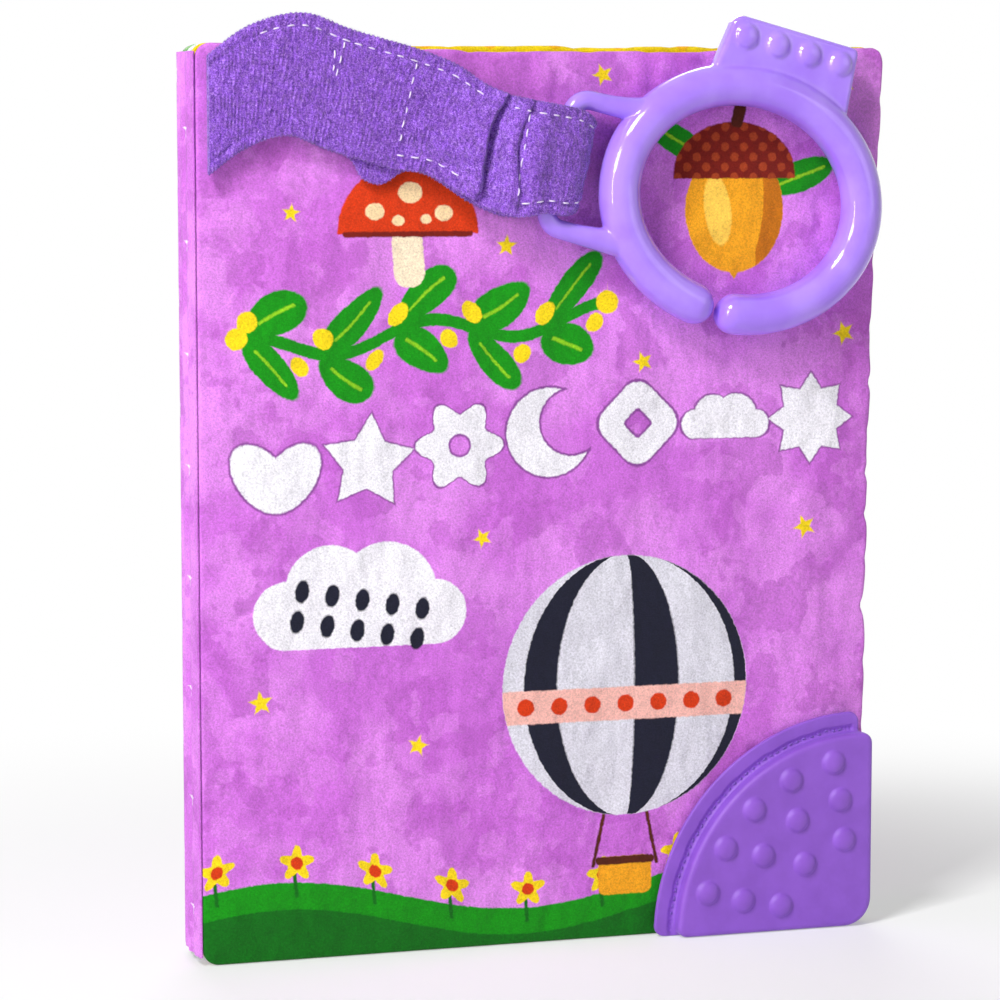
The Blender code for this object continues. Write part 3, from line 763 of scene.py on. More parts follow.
class Band:
    """The strap's velour surface and the places on it."""

    def __init__(self):
        self.lengths, rows = evenly(strap_stations(), ROW_STEP)
        rows[:, :5] = softened(rows[:, :5], BAND_SOFTENING)
        self.stations = rows[:, 5]
        self.front_rows, self.flat_rows = (
            int(np.argmax(self.stations >= len(STRAP_EDGES) - short)) for short in (0.5, 1))
        upper = np.stack([SPINE_X + rows[:, 0], rows[:, 4], rows[:, 1]], axis=1)
        lower = np.stack([SPINE_X + rows[:, 2], rows[:, 4], rows[:, 3]], axis=1)
        self.middle = (upper + lower) / 2
        self.half = np.linalg.norm(upper - lower, axis=1) / 2
        self.widths = (upper - lower) / (2 * self.half[:, None])
        tangents = np.gradient(self.middle, axis=0)
        tangents -= self.widths * (tangents * self.widths).sum(axis=1)[:, None]
        self.tangents = unit(tangents)
        across, beyond, out = band_section()
        self.points = self.padded(across, beyond, out)
        self.fold(across)

    def padded(self, across, beyond, out):
        """The band's surface before it is folded: ribs, pile, padding and ditches."""
        ribbed = 1 - 0.45 * held((self.stations - 5) / 2)
        rib = (0.5 + 0.5 * np.cos(2 * math.pi * self.lengths / RIB_PITCH)) * ribbed
        depth = self.pile(rib, across, out)
        pillow = PILLOW * (1 - np.abs(across) ** 3)
        pillow -= DITCH * hump(np.abs(across), STITCH_LINE, 0.035)
        pillow += EDGE_ROLL * hump(np.abs(across), 0.96, 0.05)
        reach = (self.half - BAND_HALF)[:, None] * across + (
            BAND_HALF + 0.3 * MM * rib)[:, None] * beyond
        raised = out * depth + np.where(out > 0, pillow, 0)
        normals = np.cross(self.tangents, self.widths)
        return (self.middle[:, None, :] + self.widths[:, None, :] * reach[..., None]
                + normals[:, None, :] * raised[..., None])

    def pile(self, rib, across, out):
        """How far the pile stands from the band's middle: ribs that are clear in places and
        tufts on the outer side."""
        pile = np.random.default_rng(4).normal(0, PILE_ROUGH, (len(rib), len(across)))
        ahead, sideways = self.lengths[:, None], self.half[:, None] * across
        clear = held(0.55 + 0.5 * lumps(ahead, sideways, CLEAR_WAVE, 21))
        tufts = TUFT_DEPTH * lumps(ahead, sideways, TUFT_WAVE, 22)
        tufts += MAT_DEPTH * lumps(ahead, sideways, MAT_WAVE, 23)
        pile += np.where(out > 0, tufts, 0)
        return BAND_HALF + RIB_DEPTH * (rib[:, None] * clear - 0.7) + pile

    def fold(self, across):
        """Pushes the upper layer into its folds, its waves and its rolled lower edge."""
        is_front = np.arange(len(self.lengths)) < self.flat_rows
        crease = np.interp(CREASE, self.stations[is_front], self.lengths[is_front])
        apart, pushed, raised = zip(*STRAP_FOLDS)
        from_crease = ((self.lengths - crease) / MM)[:, None] + CREASE_BOW * (
            np.sin(2.6 * across + 0.7) - 0.4 * across)
        left = (self.lengths[self.flat_rows] - self.lengths) / FOLD_FADE
        kept = (eased(left) * is_front)[:, None]
        firm = np.clip(1.1 + across * 0.7, 0.3, 1)
        pushed = np.interp(from_crease, apart, pushed) * MM * kept * firm
        raised = np.interp(from_crease, apart, raised) * MM * kept * (0.75 + 0.25 * firm)
        wave = 0.3 * MM * ripple(self.lengths, 23 * MM, 1)[:, None] * (1 + across) / 2
        wave = wave + 0.25 * MM * ripple(self.lengths, 15 * MM, 4)[:, None] * (1 - across) / 2
        ease = held((self.stations - 0.5) / 2)[:, None] * kept
        hunch = 0.8 + 0.2 * np.cos(across * 2.2)
        self.points[..., 1] -= raised * hunch + np.maximum(wave, -0.1 * MM) * ease
        rolled = np.interp(self.stations, (4, 5, 7, 7.8), (0, 1, 1, 0))[:, None] * kept
        self.points[..., 1] -= rolled * MM * (
            1.1 * hump(across, -0.76, 0.16) - 0.7 * hump(across, -0.42, 0.14))
        self.points += self.tangents[:, None, :] * pushed[..., None]

    def rail(self, places, across):
        """Points and outward directions over the upper layer, at stations and shares across."""
        front = self.points[: self.front_rows, :BAND_COLUMNS]
        rows = np.interp(places, self.stations[: len(front)], np.arange(len(front)))
        columns = (1 - np.asarray(across)) / 2 * (BAND_COLUMNS - 1)
        row = np.clip(rows.astype(int), 1, len(front) - 3)
        column = np.clip(np.asarray(columns).astype(int), 1, BAND_COLUMNS - 3)
        along = front[row + 2, column] - front[row - 1, column]
        over = front[row, column + 2] - front[row, column - 1]
        outward = unit(np.cross(along, -over))
        return front[row, column], outward * np.where(outward[:, 1] > 0, -1, 1)[:, None]


def velour_nap(band, finish):
    """Loose fibres that stand out of the velour and fray its outline."""
    chance = np.random.default_rng(11)
    count = NAP_FIBRES
    rows, sides = band.points.shape[:2]
    row = chance.integers(NAP_END_ROWS, rows - NAP_END_ROWS, count)
    side = chance.integers(0, sides, count)
    root = band.points[row, side]
    along = band.points[row + 1, side] - band.points[row - 1, side]
    over = band.points[row, (side + 1) % sides] - band.points[row, side - 1]
    outward = unit(np.cross(along, over))
    outward *= np.sign((outward * (root - band.middle[row])).sum(axis=1))[:, None]
    lean = [lumps(root[:, 0], root[:, 2], NAP_LEAN_WAVE, seed) for seed in (31, 32, 33)]
    scatter = chance.normal(0, NAP_SCATTER, (count, 3))
    way = unit(outward + scatter + NAP_LEAN * np.stack(lean, axis=1))
    length = NAP_LENGTH * chance.uniform(0.5, 1.1, count)
    across = unit(np.cross(way, chance.normal(0, 1, (count, 3))))
    up = np.cross(way, across)
    corners = [root - way * 0.05 * MM + NAP_RADIUS * (
        math.cos(turn) * across + math.sin(turn) * up) for turn in (0, 2.1, 4.2)]
    vertices = np.stack(corners + [root + way * length[:, None]], axis=1)
    faces = []
    for k in range(0, 4 * count, 4):
        faces += [(k, k + 1, k + 3), (k + 1, k + 2, k + 3), (k + 2, k, k + 3), (k + 2, k + 1, k)]
    made = add_mesh("strap_nap", vertices, faces, finish)
    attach(made, "strap")
    return made


def stitch(line, up, radius, sunk):
    """Points of one short thread, arched and sunk at its ends."""
    share = np.linspace(0, 1, THREAD_RINGS)
    line = line + up * (radius * (4 * share * (1 - share) * 1.6 - sunk))[:, None]
    ahead = unit(line[-1] - line[0])
    size = radius * (0.55 + 0.45 * np.sin(math.pi * share) ** 0.5)
    points = []
    for ring in range(THREAD_RINGS):
        side = unit(np.cross(ahead, up[ring]))
        top = np.cross(side, ahead)
        for n in range(THREAD_SIDES):
            turn = 2 * math.pi * n / THREAD_SIDES
            points.append(line[ring] + size[ring] * (math.cos(turn) * side + math.sin(turn) * top))
    return points


def stitches(name, rails, finish, length, gap, body):
    """Short threads that run along the rails, each a little different."""
    vertices, faces = [], []
    chance = np.random.default_rng(7)
    for on, outward in rails:
        steps = run_lengths(on)
        for k in range(int((steps[-1] + gap) / (length + gap))):
            start = k * (length + gap) + chance.uniform(-0.2, 0.2) * gap
            at = np.linspace(start, start + length * chance.uniform(0.75, 1.1), THREAD_RINGS)
            line, up = (np.stack([np.interp(at, steps, rows[:, i]) for i in range(3)], axis=1)
                        for rows in (on, outward))
            faces += capped_faces(THREAD_RINGS, THREAD_SIDES, len(vertices))
            vertices += stitch(line, up, THREAD_RADIUS, chance.uniform(0.5, 1.1))
    made = add_mesh(name, vertices, faces, finish)
    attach(made, body)
    return made


def strap_threads(band, finish):
    """Running stitches beside the edges, the cross seams and the loop's seam."""
    rails = [band.rail(np.linspace(first, last, 400), np.full(400, across))
             for first, last, across in STITCHED_ALONG]
    rails += [band.rail(place + lean * np.linspace(0, 1, 200), np.linspace(first, last, 200))
              for place, lean, first, last in STITCHED_OVER]
    made = stitches("strap_threads", rails, finish, RUNNING_STITCH, RUNNING_GAP, "strap")
    return made


def strap(finish, tips, thread):
    """The velour band: ribbed, creased, with rolled edges, and folded round the bar."""
    band = Band()
    rows, sides = band.points.shape[:2]
    made = add_mesh("strap_velour", band.points, capped_faces(rows, sides), finish)
    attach(made, "strap")
    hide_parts("strap")
    threads = strap_threads(band, thread)
    velour_nap(band, tips)
    return made


# Corner teether

def teether_outline(radius, overhang, corner_round):
    """A quarter disc round the cover's lower fore corner, with round tips."""
    right, tip = TEETHER_X + overhang, TIP_ROUND
    low_turn = math.asin(tip / (radius - tip))
    rise_z = math.sqrt((radius - tip) ** 2 - (overhang - tip) ** 2)
    fore_turn = math.atan2(rise_z, overhang - tip)
    base_centre = (TEETHER_X - (radius - tip) * math.cos(low_turn), tip)
    outline = arc((right - tip, rise_z), tip, 0, fore_turn, 6)
    outline += arc((TEETHER_X, 0), radius, fore_turn, math.pi - low_turn, TEETHER_ARC_STEPS)[1:-1]
    outline += arc(base_centre, tip, math.pi - low_turn, 1.5 * math.pi, 8)
    if corner_round:
        outline += arc((right - corner_round, corner_round), corner_round,
                       1.5 * math.pi, 2 * math.pi, 10)
    else:
        outline += [(right, 0)]
    return outline


SEAM_RADIUS = PLATE_RADIUS + 0.9 * MM
SEAM_WIDTH = 1 * MM
SEAM_DEPTH = 0.45 * MM
STITCH_LENGTH, STITCH_PITCH = 1.3 * MM, 2 * MM
SEAM_TURNS = (math.radians(95), math.radians(176))
TEETHER_ARC_STEPS = 60
FLANGE_EDGE, PLATE_EDGE = 0.35 * MM, 1.2 * MM
TEETHER_VOXEL, TEETHER_FILLETS = 0.3 * MM, 3


def seam_wander(turn):
    return 0.2 * MM * ripple(turn * SEAM_RADIUS, 9 * MM, 2)


def press_seam(made, face_y):
    """Presses an uneven groove in the flange beside the plate, where it is sewn on."""
    mesh = made.data
    flat = np.empty(len(mesh.vertices) * 3, dtype=np.float32)
    mesh.vertices.foreach_get("co", flat)
    points = flat.reshape(-1, 3)
    x, y, z = points[:, 0] - TEETHER_X, points[:, 1], points[:, 2]
    turn = np.arctan2(z, x)
    off = np.hypot(x, z) - SEAM_RADIUS - seam_wander(turn)
    pit = held(1 - (off / SEAM_WIDTH) ** 2) * (0.5 + 0.5 * np.cos(
        2 * math.pi * turn * SEAM_RADIUS / STITCH_PITCH) ** 2)
    on_face = (np.abs(y - face_y) < 0.3 * MM) & (x < -1.5 * MM)
    points[:, 1] += SEAM_DEPTH * pit * on_face
    mesh.vertices.foreach_set("co", points.ravel())
    mesh.update()


def seam_thread(finish, y):
    """The thread that holds the teether on the cover, in small uneven stitches."""
    chance = np.random.default_rng(5)
    turns = np.linspace(*SEAM_TURNS, 900)
    shake = softened(chance.normal(0, 1, len(turns)), THREAD_SOFTENING)
    radius = SEAM_RADIUS + seam_wander(turns) + 0.12 * MM * shake
    on = np.stack([TEETHER_X + radius * np.cos(turns), np.full(len(turns), y - 0.12 * MM),
                   radius * np.sin(turns)], axis=1)
    made = stitches("teether_thread", [(on, np.tile((0.0, -1.0, 0.0), (len(turns), 1)))],
                    finish, STITCH_LENGTH, STITCH_PITCH - STITCH_LENGTH, "front_cover")


def corner_teether(finish, thread):
    back = COVER_FACE_Y - REST_GAP
    flange = plate("flange", teether_outline(FLANGE_RADIUS, 0, 0),
                   back - FLANGE_THICKNESS, back, FLANGE_EDGE)
    chew = plate("chew_plate", teether_outline(PLATE_RADIUS, PLATE_OVERHANG, PLATE_CORNER),
                 back - PLATE_THICKNESS, back - FLANGE_THICKNESS / 3, PLATE_EDGE)
    studs = []
    for radius, count, spread in STUD_ROWS:
        for k in range(count):
            turn = math.radians(STUD_ROWS_MIDDLE + spread * (k / (count - 1) - 0.5))
            studs.append(stud(Vector((TEETHER_X + radius * math.cos(turn),
                                      back - PLATE_THICKNESS, radius * math.sin(turn)))))
    made = merged("corner_teether_moulded", [flange, chew] + studs, finish)
    made = moulded(made, TEETHER_VOXEL, TEETHER_FILLETS)
    press_seam(made, back - FLANGE_THICKNESS)
    seam_thread(thread, back - FLANGE_THICKNESS + SEAM_DEPTH)
    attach(made, "front_cover")
    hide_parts("corner_teether")
    return made


# Materials

INK_EDGE = 0.35  # mm over which printed colours meet
INK_WANDER = 0.5  # mm that a printed edge wanders in the nap
FAR = 10000  # beyond any page

GREEN, DEEP_GREEN, LIME = "12900f", "0a6a12", "8cc81e"
YELLOW, AMBER, RED = "f8d818", "f2a51e", "d63a0e"
MAROON, BROWN, WHITE = "7a1c10", "55210f", "f1eef5"
NAVY, BLUSH = "1b1c2e", "f3b9ae"


def linear(hex_colour):
    """A rrggbb colour as the linear values that a shader takes."""
    shares = [int(hex_colour[k:k + 2], 16) / 255 for k in (0, 2, 4)]
    return tuple(s / 12.92 if s <= 0.04045 else ((s + 0.055) / 1.055) ** 2.4 for s in shares)


class Nodes:
    """The node tree of a material or a world, with a short call for each kind of node."""

    def __init__(self, name, world=None):
        self.owner = world or bpy.data.materials.new(name)
        self.owner.use_nodes = True
        self.tree = self.owner.node_tree
        self.shader = self.tree.nodes["Background" if world else "Principled BSDF"]

    def put(self, socket, value):
        if isinstance(value, bpy.types.NodeSocket):
            self.tree.links.new(value, socket)
        elif isinstance(value, str):
            socket.default_value = (*linear(value), 1)
        elif value is not None:
            socket.default_value = value

    def set(self, **values):
        """Sets the shader's own sockets: Base_Color="rrggbb", Roughness=0.5 and so on."""
        for name, value in values.items():
            self.put(self.shader.inputs[name.replace("_", " ")], value)

    def add(self, kind, **settings):
        node = self.tree.nodes.new("ShaderNode" + kind)
        for key, value in settings.items():
            setattr(node, key, value)
        return node

    def fed(self, kind, values, **settings):
        """A new node whose first inputs take these values."""
        node = self.add(kind, **settings)
        for socket, value in zip(node.inputs, values):
            self.put(socket, value)
        return node

    def math(self, operation, *values, clamp=False):
        return self.fed("Math", values, operation=operation, use_clamp=clamp).outputs[0]

    def times(self, value, factor, more=None):
        """The value times the factor, plus more."""
        if more is None:
            return self.math("MULTIPLY", value, factor)
        return self.math("MULTIPLY_ADD", value, factor, more)

    def vector(self, operation, *values):
        node = self.fed("VectorMath", values, operation=operation)
        number = operation in ("LENGTH", "DOT_PRODUCT")
        return node.outputs["Value" if number else "Vector"]

    def split(self, vector):
        return self.fed("SeparateXYZ", [vector]).outputs[:]

    def flat(self, x, y):
        """A place on a page."""
        return self.fed("CombineXYZ", [x, y]).outputs[0]

    def mix(self, share, a, b):
        node = self.add("Mix", data_type="RGBA")
        for index, value in ((0, share), (6, a), (7, b)):
            self.put(node.inputs[index], value)
        return node.outputs[2]

    def shade(self, colour, amount):
        """The colour multiplied by a number."""
        node = self.fed("VectorMath", [colour], operation="SCALE")
        self.put(node.inputs["Scale"], amount)
        return node.outputs[0]

    def between(self, value, low, high, to_low=0.0, to_high=1.0):
        """From one number to the other as the value goes from low to high."""
        return self.fed("MapRange", (value, low, high, to_low, to_high),
                        interpolation_type="SMOOTHSTEP").outputs[0]

    def millimetres(self):
        """Where on the book the surface is, in mm from the spine, the seams and the base."""
        place = self.add("TexCoord").outputs["Object"]
        return self.vector("MULTIPLY_ADD", place, (1 / MM,) * 3, (-SPINE_X / MM, 0, 0))

    def noise(self, place, per_mm, detail=2.0, roughness=0.5, colour=False):
        node = self.add("TexNoise")
        for name, value in (("Vector", place), ("Scale", per_mm), ("Detail", detail),
                            ("Roughness", roughness)):
            self.put(node.inputs[name], value)
        return node.outputs["Color" if colour else "Fac"]

    def bump(self, height, strength, distance, under=None):
        node = self.add("Bump")
        for name, value in (("Height", height), ("Strength", strength), ("Distance", distance),
                            ("Normal", under)):
            self.put(node.inputs[name], value)
        return node.outputs[0]


class Print(Nodes):
    """A picture on cloth, made of simple shapes that are inked over each other. Its places
    are in mm from the spine and the base, and turns in degrees."""

    def ground(self, colour, round_spine=False):
        self.colour = colour
        self.where = self.millimetres()
        x, y, z = self.split(self.where)
        if round_spine:
            x = self.math("ADD", x, y)
        page = self.flat(x, z)
        wander = self.noise(self.where, 1.1, 1, colour=True)
        half = (INK_WANDER / 2, INK_WANDER / 2, 0)
        self.page = self.vector("MULTIPLY_ADD", wander, (INK_WANDER, INK_WANDER, 0),
                                self.vector("SUBTRACT", page, half))

    def at(self, x, y, wide=1.0, high=1.0, turn=0.0, page=None):
        """The page seen from a place, in units of half the shape's width and height."""
        page = page or self.page
        if not turn:
            return self.vector("MULTIPLY_ADD", page, (1 / wide, 1 / high, 0),
                               (-x / wide, -y / high, 0))
        values = (page, (x, y, 0), (0, 0, math.radians(turn)), (wide, high, 1))
        return self.fed("Mapping", values, vector_type="TEXTURE").outputs[0]

    def within(self, value, limit, soft):
        """1 where the value is under the limit, 0 over it, soft between."""
        return self.math("MULTIPLY_ADD", value, -1 / soft, 0.5 + limit / soft, clamp=True)

    def oval(self, x, y, wide, high=None, turn=0.0, page=None):
        high = high or wide
        place = self.at(x, y, wide, high, turn, page)
        return self.within(self.vector("LENGTH", place), 1, INK_EDGE / min(wide, high))

    def block(self, x, y, wide, high, turn=0.0, corner=0.4, page=None):
        place = self.vector("ABSOLUTE", self.at(x, y, 1, 1, turn, page))
        place = self.vector("SUBTRACT", place, (wide / 2 - corner, high / 2 - corner, 0))
        place = self.vector("MAXIMUM", place, (0, 0, 0))
        return self.within(self.vector("LENGTH", place), corner, INK_EDGE)

    def side(self, x, y, turn, page=None):
        """The half of the page beyond a place, in the direction of the turn."""
        lean = math.radians(turn)
        way = (math.cos(lean), math.sin(lean), 0)
        along = self.vector("DOT_PRODUCT", page or self.page, way)
        return self.math("MULTIPLY_ADD", along, 1 / INK_EDGE,
                         0.5 - (x * way[0] + y * way[1]) / INK_EDGE, clamp=True)

    def polar(self, x, y, size, turn=0.0, page=None):
        place = self.at(x, y, size, size, turn, page)
        across, up, _ = self.split(place)
        return self.vector("LENGTH", place), self.math("ARCTAN2", up, across)

    def star(self, x, y, size, inner=0.5, points=5, turn=18.0, page=None):
        away, angle = self.polar(x, y, size, turn, page)
        half = math.pi / points
        n1, n2 = inner * math.sin(half), 1 - inner * math.cos(half)
        folded = self.math("PINGPONG", angle, half)
        slanted = self.math("COSINE", self.math("SUBTRACT", folded, math.atan2(n2, n1)))
        reach = self.times(away, slanted)
        limit = n1 / math.hypot(n1, n2)
        return self.within(reach, limit, INK_EDGE / size)

    def petals(self, x, y, size, count, depth, turn=0.0, page=None):
        away, angle = self.polar(x, y, size, turn, page)
        wave = self.math("COSINE", self.times(angle, count))
        return self.within(self.times(wave, -depth, away), 1 - depth, INK_EDGE / size)

    def both(self, *masks):
        return self.joined("MULTIPLY", masks)

    def either(self, *masks):
        return self.joined("MAXIMUM", masks)

    def joined(self, operation, masks):
        result = masks[0]
        for mask in masks[1:]:
            result = self.math(operation, result, mask)
        return result

    def without(self, mask, hole):
        return self.math("SUBTRACT", mask, hole, clamp=True)

    def ink(self, mask, colour):
        self.colour = self.mix(mask, self.colour, colour)

    def repeated(self, page, pitch_x, pitch_y=0.0):
        """The page folded into equal cells, each centred on its own origin."""
        half = Vector((pitch_x / 2, pitch_y / 2 or FAR, FAR))
        return self.vector("WRAP", page, half, -half)


def cloth_finish(cloth, colour):
    """Brushed cloth: short nap in the colour and the relief, and a soft sheen."""
    place = cloth.millimetres()
    nap = cloth.noise(place, 2.0, 4, 0.8)
    blotch = cloth.noise(place, 0.3, 3)
    light = cloth.times(nap, 1.5, 0.26)
    light = cloth.times(light, cloth.times(blotch, 0.16, 0.92))
    cloth.set(Base_Color=cloth.shade(colour, light), Roughness=0.92, Sheen_Weight=0.12,
              Sheen_Roughness=0.5, Specular_IOR_Level=0.2)
    weave = cloth.noise(cloth.vector("MULTIPLY", place, (1, 1, 2.4)), 1.6, 2, 0.6)
    wrinkles = cloth.noise(cloth.vector("MULTIPLY", place, (1, 1, 0.7)), 0.055, 3, 0.55)
    relief = cloth.bump(wrinkles, 0.7, 5 * MM)
    relief = cloth.bump(weave, 0.5, 0.16 * MM, relief)
    cloth.set(Normal=cloth.bump(nap, 0.8, 0.16 * MM, relief))
    return cloth.owner


def mottled(cloth, light, middle, dark):
    """Cloth dyed in patches of three near colours."""
    place = cloth.millimetres()
    wide = cloth.noise(place, 0.04, 3, 0.55)
    patch = cloth.noise(cloth.vector("ADD", place, (60, 0, 40)), 0.07, 3, 0.62)
    spot = cloth.noise(cloth.vector("ADD", place, (20, 0, 90)), 0.1, 2, 0.6)
    colour = cloth.mix(cloth.between(wide, 0.4, 0.62), middle, light)
    colour = cloth.mix(cloth.between(patch, 0.53, 0.57, 0, 0.5), colour, dark)
    return cloth.mix(cloth.between(spot, 0.56, 0.59, 0, 0.45), colour, light)


ORCHIDS = ("df8ae8", "cb6ed7", "b75bc3")
VINE_WAVE, VINE_PAIR, VINE_ENDS = 44, 18, (9, 99)
HILL_WAVE, FLOWER_PITCH = 120, 19
SHAPE_PITCH = 22.2
DROP_PITCH, DROP_COUNTS = (7.4, 7.2), (5, 2)
GORE_BAND, BAND_HALF_HEIGHT = 0.14, 0.13  # of the balloon's size: how low it is, and its height


def sprout(art, x, y, size, turn):
    """A leaf with a paler vein."""
    art.ink(art.oval(x, y, size, size * 0.42, turn), GREEN)
    art.ink(art.block(x, y, size * 1.5, 0.7, turn, 0.3), LIME)


def vine(art):
    """A wavy green vine with pairs of big leaves and yellow berries."""
    x, y, _ = art.split(art.page)
    wave = art.math("SINE", art.times(x, 2 * math.pi / VINE_WAVE))
    level = art.times(wave, 3.0, art.times(x, 0.08, 143.5))
    height = art.math("SUBTRACT", y, level)
    span = art.both(art.side(VINE_ENDS[0], 0, 0), art.side(VINE_ENDS[1], 0, 180))
    stem = art.within(art.math("ABSOLUTE", height), 1.5, INK_EDGE)
    cells = art.repeated(art.flat(x, height), VINE_PAIR)
    leaves = art.either(art.oval(0.5, 6.6, 8.6, 4.4, 38, cells),
                        art.oval(-1, -6.4, 8.2, 4.1, -42, cells))
    veins = art.either(art.block(0.5, 6.6, 11, 0.7, 38, 0.3, cells),
                       art.block(-1, -6.4, 10, 0.7, -42, 0.3, cells))
    berries = art.either(art.oval(-6.6, 3.6, 2.5, page=cells), art.oval(5.8, -4.2, 2.2, page=cells))
    tips = art.either(art.oval(VINE_ENDS[0], 147.1, 2.6), art.oval(VINE_ENDS[1], 154.4, 2.8))
    art.ink(art.both(span, art.either(stem, leaves)), GREEN)
    art.ink(art.both(span, veins), LIME)
    art.ink(art.either(art.both(span, berries), tips), YELLOW)


def toadstool(art, x, y):
    art.ink(art.block(x, y - 11.5, 7.5, 14, 4, 3.4), "f7e2c4")
    cap = art.both(art.oval(x, y - 5.5, 17, 16), art.side(x, y - 6, 90))
    art.ink(cap, RED)
    for dx, dy, size in ((-8, -0.8, 2.3), (0.5, 3.6, 2.9), (8.6, -1.2, 2.2), (-2.4, -2.9, 1.5),
                         (4.3, -2.6, 1.3)):
        art.ink(art.oval(x + dx, y + dy, size, size * 0.85), "f9d9a8")
    art.ink(art.block(x, y - 6.1, 31.5, 1.3, 0, 0.6), MAROON)


def acorn(art, x, y):
    sprout(art, x + 17, y + 5, 9, 20)
    sprout(art, x - 14.5, y + 13.5, 8, 150)
    nut = art.either(art.oval(x, y - 3, 12.5, 15), art.star(x, y - 15, 4.6, 0.55, 3, 30))
    art.ink(nut, AMBER)
    art.ink(art.oval(x - 4.2, y - 3, 3.4, 8.5, 8), "ffcf52")
    art.ink(art.both(nut, art.without(art.side(x + 5.5, y, 0), art.oval(x - 6, y, 13.5, 24))),
            "c9740f")
    cap = art.both(art.oval(x, y + 5.5, 15.5, 12.5), art.side(x, y + 4.5, 90))
    art.ink(cap, MAROON)
    scales = art.repeated(art.at(x, y, turn=45), 3.4, 3.4)
    art.ink(art.both(cap, art.oval(0, 0, 1.05, page=scales)), "a8401c")
    art.ink(art.block(x + 1.2, y + 20.3, 3, 7.5, -14, 1.2), BROWN)


def cloud(art, x, y, size):
    puffs = [art.oval(x + dx * size, y + dy * size, r * size)
             for dx, dy, r in ((-1.35, -0.05, 0.62), (-0.55, 0.35, 0.85), (0.5, 0.28, 0.95),
                               (1.4, -0.08, 0.6))]
    base = art.block(x, y - 0.25 * size, 3.7 * size, 0.85 * size, 0, 0.42 * size)
    return art.either(*puffs, base)


def row_of_shapes(art):
    """Seven plump white shapes in a rising arch."""
    def place(k):
        return 18 + SHAPE_PITCH * k, 110 + 16 * math.sin(0.25 + k * 0.26)

    def heart(x, y, more):
        return art.either(art.oval(x - 3.5, y + 0.6, 5.7 + more, 9.2 + more, 38),
                          art.oval(x + 3.5, y + 0.6, 5.7 + more, 9.2 + more, -38))

    def crescent(x, y, more):
        return art.without(art.oval(x, y, 10.6 + more), art.oval(x + 5.6, y + 2.4, 8.2 - more))

    makers = (
        heart,
        lambda x, y, more: art.star(x, y, 11.4 + 1.4 * more, 0.54, 5, 14),
        lambda x, y, more: art.without(art.petals(x, y, 10.8 + more, 6, 0.16),
                                       art.oval(x, y, 2.8 - more)),
        crescent,
        lambda x, y, more: art.without(art.block(x, y, 16.5 + 2 * more, 16.5 + 2 * more, 45, 4.5),
                                       art.block(x, y, 5.6 - 2 * more, 5.6 - 2 * more, 45, 1)),
        lambda x, y, more: cloud(art, x, y - 1, 5.6 + more * 0.6),
        lambda x, y, more: art.star(x, y, 11 + 1.2 * more, 0.68, 8, 0))
    for more, colour in ((0.55, "8f4a9c"), (0, WHITE)):
        art.ink(art.either(*[make(*place(k), more) for k, make in enumerate(makers)]), colour)


def rain_cloud(art, x, y):
    art.ink(cloud(art, x, y, 13), WHITE)
    tilted = art.at(x, y - 1.2, turn=-10)
    drops = art.repeated(art.at(0, 3.6, page=tilted), *DROP_PITCH)
    wide, high = (count * pitch for count, pitch in zip(DROP_COUNTS, DROP_PITCH))
    field = art.block(0, 0, wide, high, page=tilted)
    art.ink(art.both(art.oval(0, 0, 1.7, 2.7, 0, drops), field), NAVY)


def balloon(art, x, y, size):
    """A big balloon in white and navy gores, with a dotted blush band and a basket."""
    for way in (-1, 1):
        art.ink(art.block(x + way * size * 0.2, y - size * 1.12, 0.9, size * 0.62,
                          way * 12, 0.3), BROWN)
    bag = art.either(art.oval(x, y, size, size * 1.02),
                     art.both(art.block(x, y - size * 0.72, size * 0.86, size * 0.62, 0, 4),
                              art.oval(x, y - size * 0.5, size * 0.62, size * 0.5)))
    art.ink(bag, "dcdae4")
    across, up, _ = art.split(art.at(x, y, size, size))
    wide = art.math("SQRT", art.math("MULTIPLY_ADD", art.times(up, up), -0.94, 1, clamp=True))
    gore = art.math("ARCSINE", art.math("DIVIDE", across, art.math("MAXIMUM", wide, 0.12)))
    stripes = art.math("SINE", art.times(gore, 6))
    navy = art.math("MULTIPLY_ADD", stripes, 9, -3.2, clamp=True)
    art.ink(art.both(bag, navy), NAVY)
    from_band = art.math("ABSOLUTE", art.math("ADD", up, GORE_BAND))
    band = art.both(bag, art.within(from_band, BAND_HALF_HEIGHT, INK_EDGE / size))
    art.ink(band, BLUSH)
    cells = art.repeated(art.at(x, y - GORE_BAND * size), 8.4)
    art.ink(art.both(band, art.oval(0, 0, 2.1, page=cells)), RED)
    art.ink(art.block(x, y - size * 1.5, 13.5, 9.5, 0, 2), AMBER)
    art.ink(art.block(x, y - size * 1.38, 15, 2, 0, 0.9), BROWN)


def meadow(art):
    """A green hill along the base, with tufts and flowers."""
    x, y, _ = art.split(art.page)
    wave = art.math("SINE", art.times(x, 2 * math.pi / HILL_WAVE, 0.6))
    height = art.math("SUBTRACT", y, art.times(wave, 5, 14))
    art.ink(art.within(height, 0, INK_EDGE), GREEN)
    art.ink(art.within(height, -6.5, INK_EDGE), DEEP_GREEN)
    cells = art.repeated(art.flat(x, height), FLOWER_PITCH)
    art.ink(art.block(3, 0.4, 0.9, 8, 6, 0.4, cells), DEEP_GREEN)
    art.ink(art.petals(3.4, 4.6, 4.4, 5, 0.24, 18, cells), YELLOW)
    art.ink(art.oval(3.4, 4.6, 1.5, page=cells), RED)


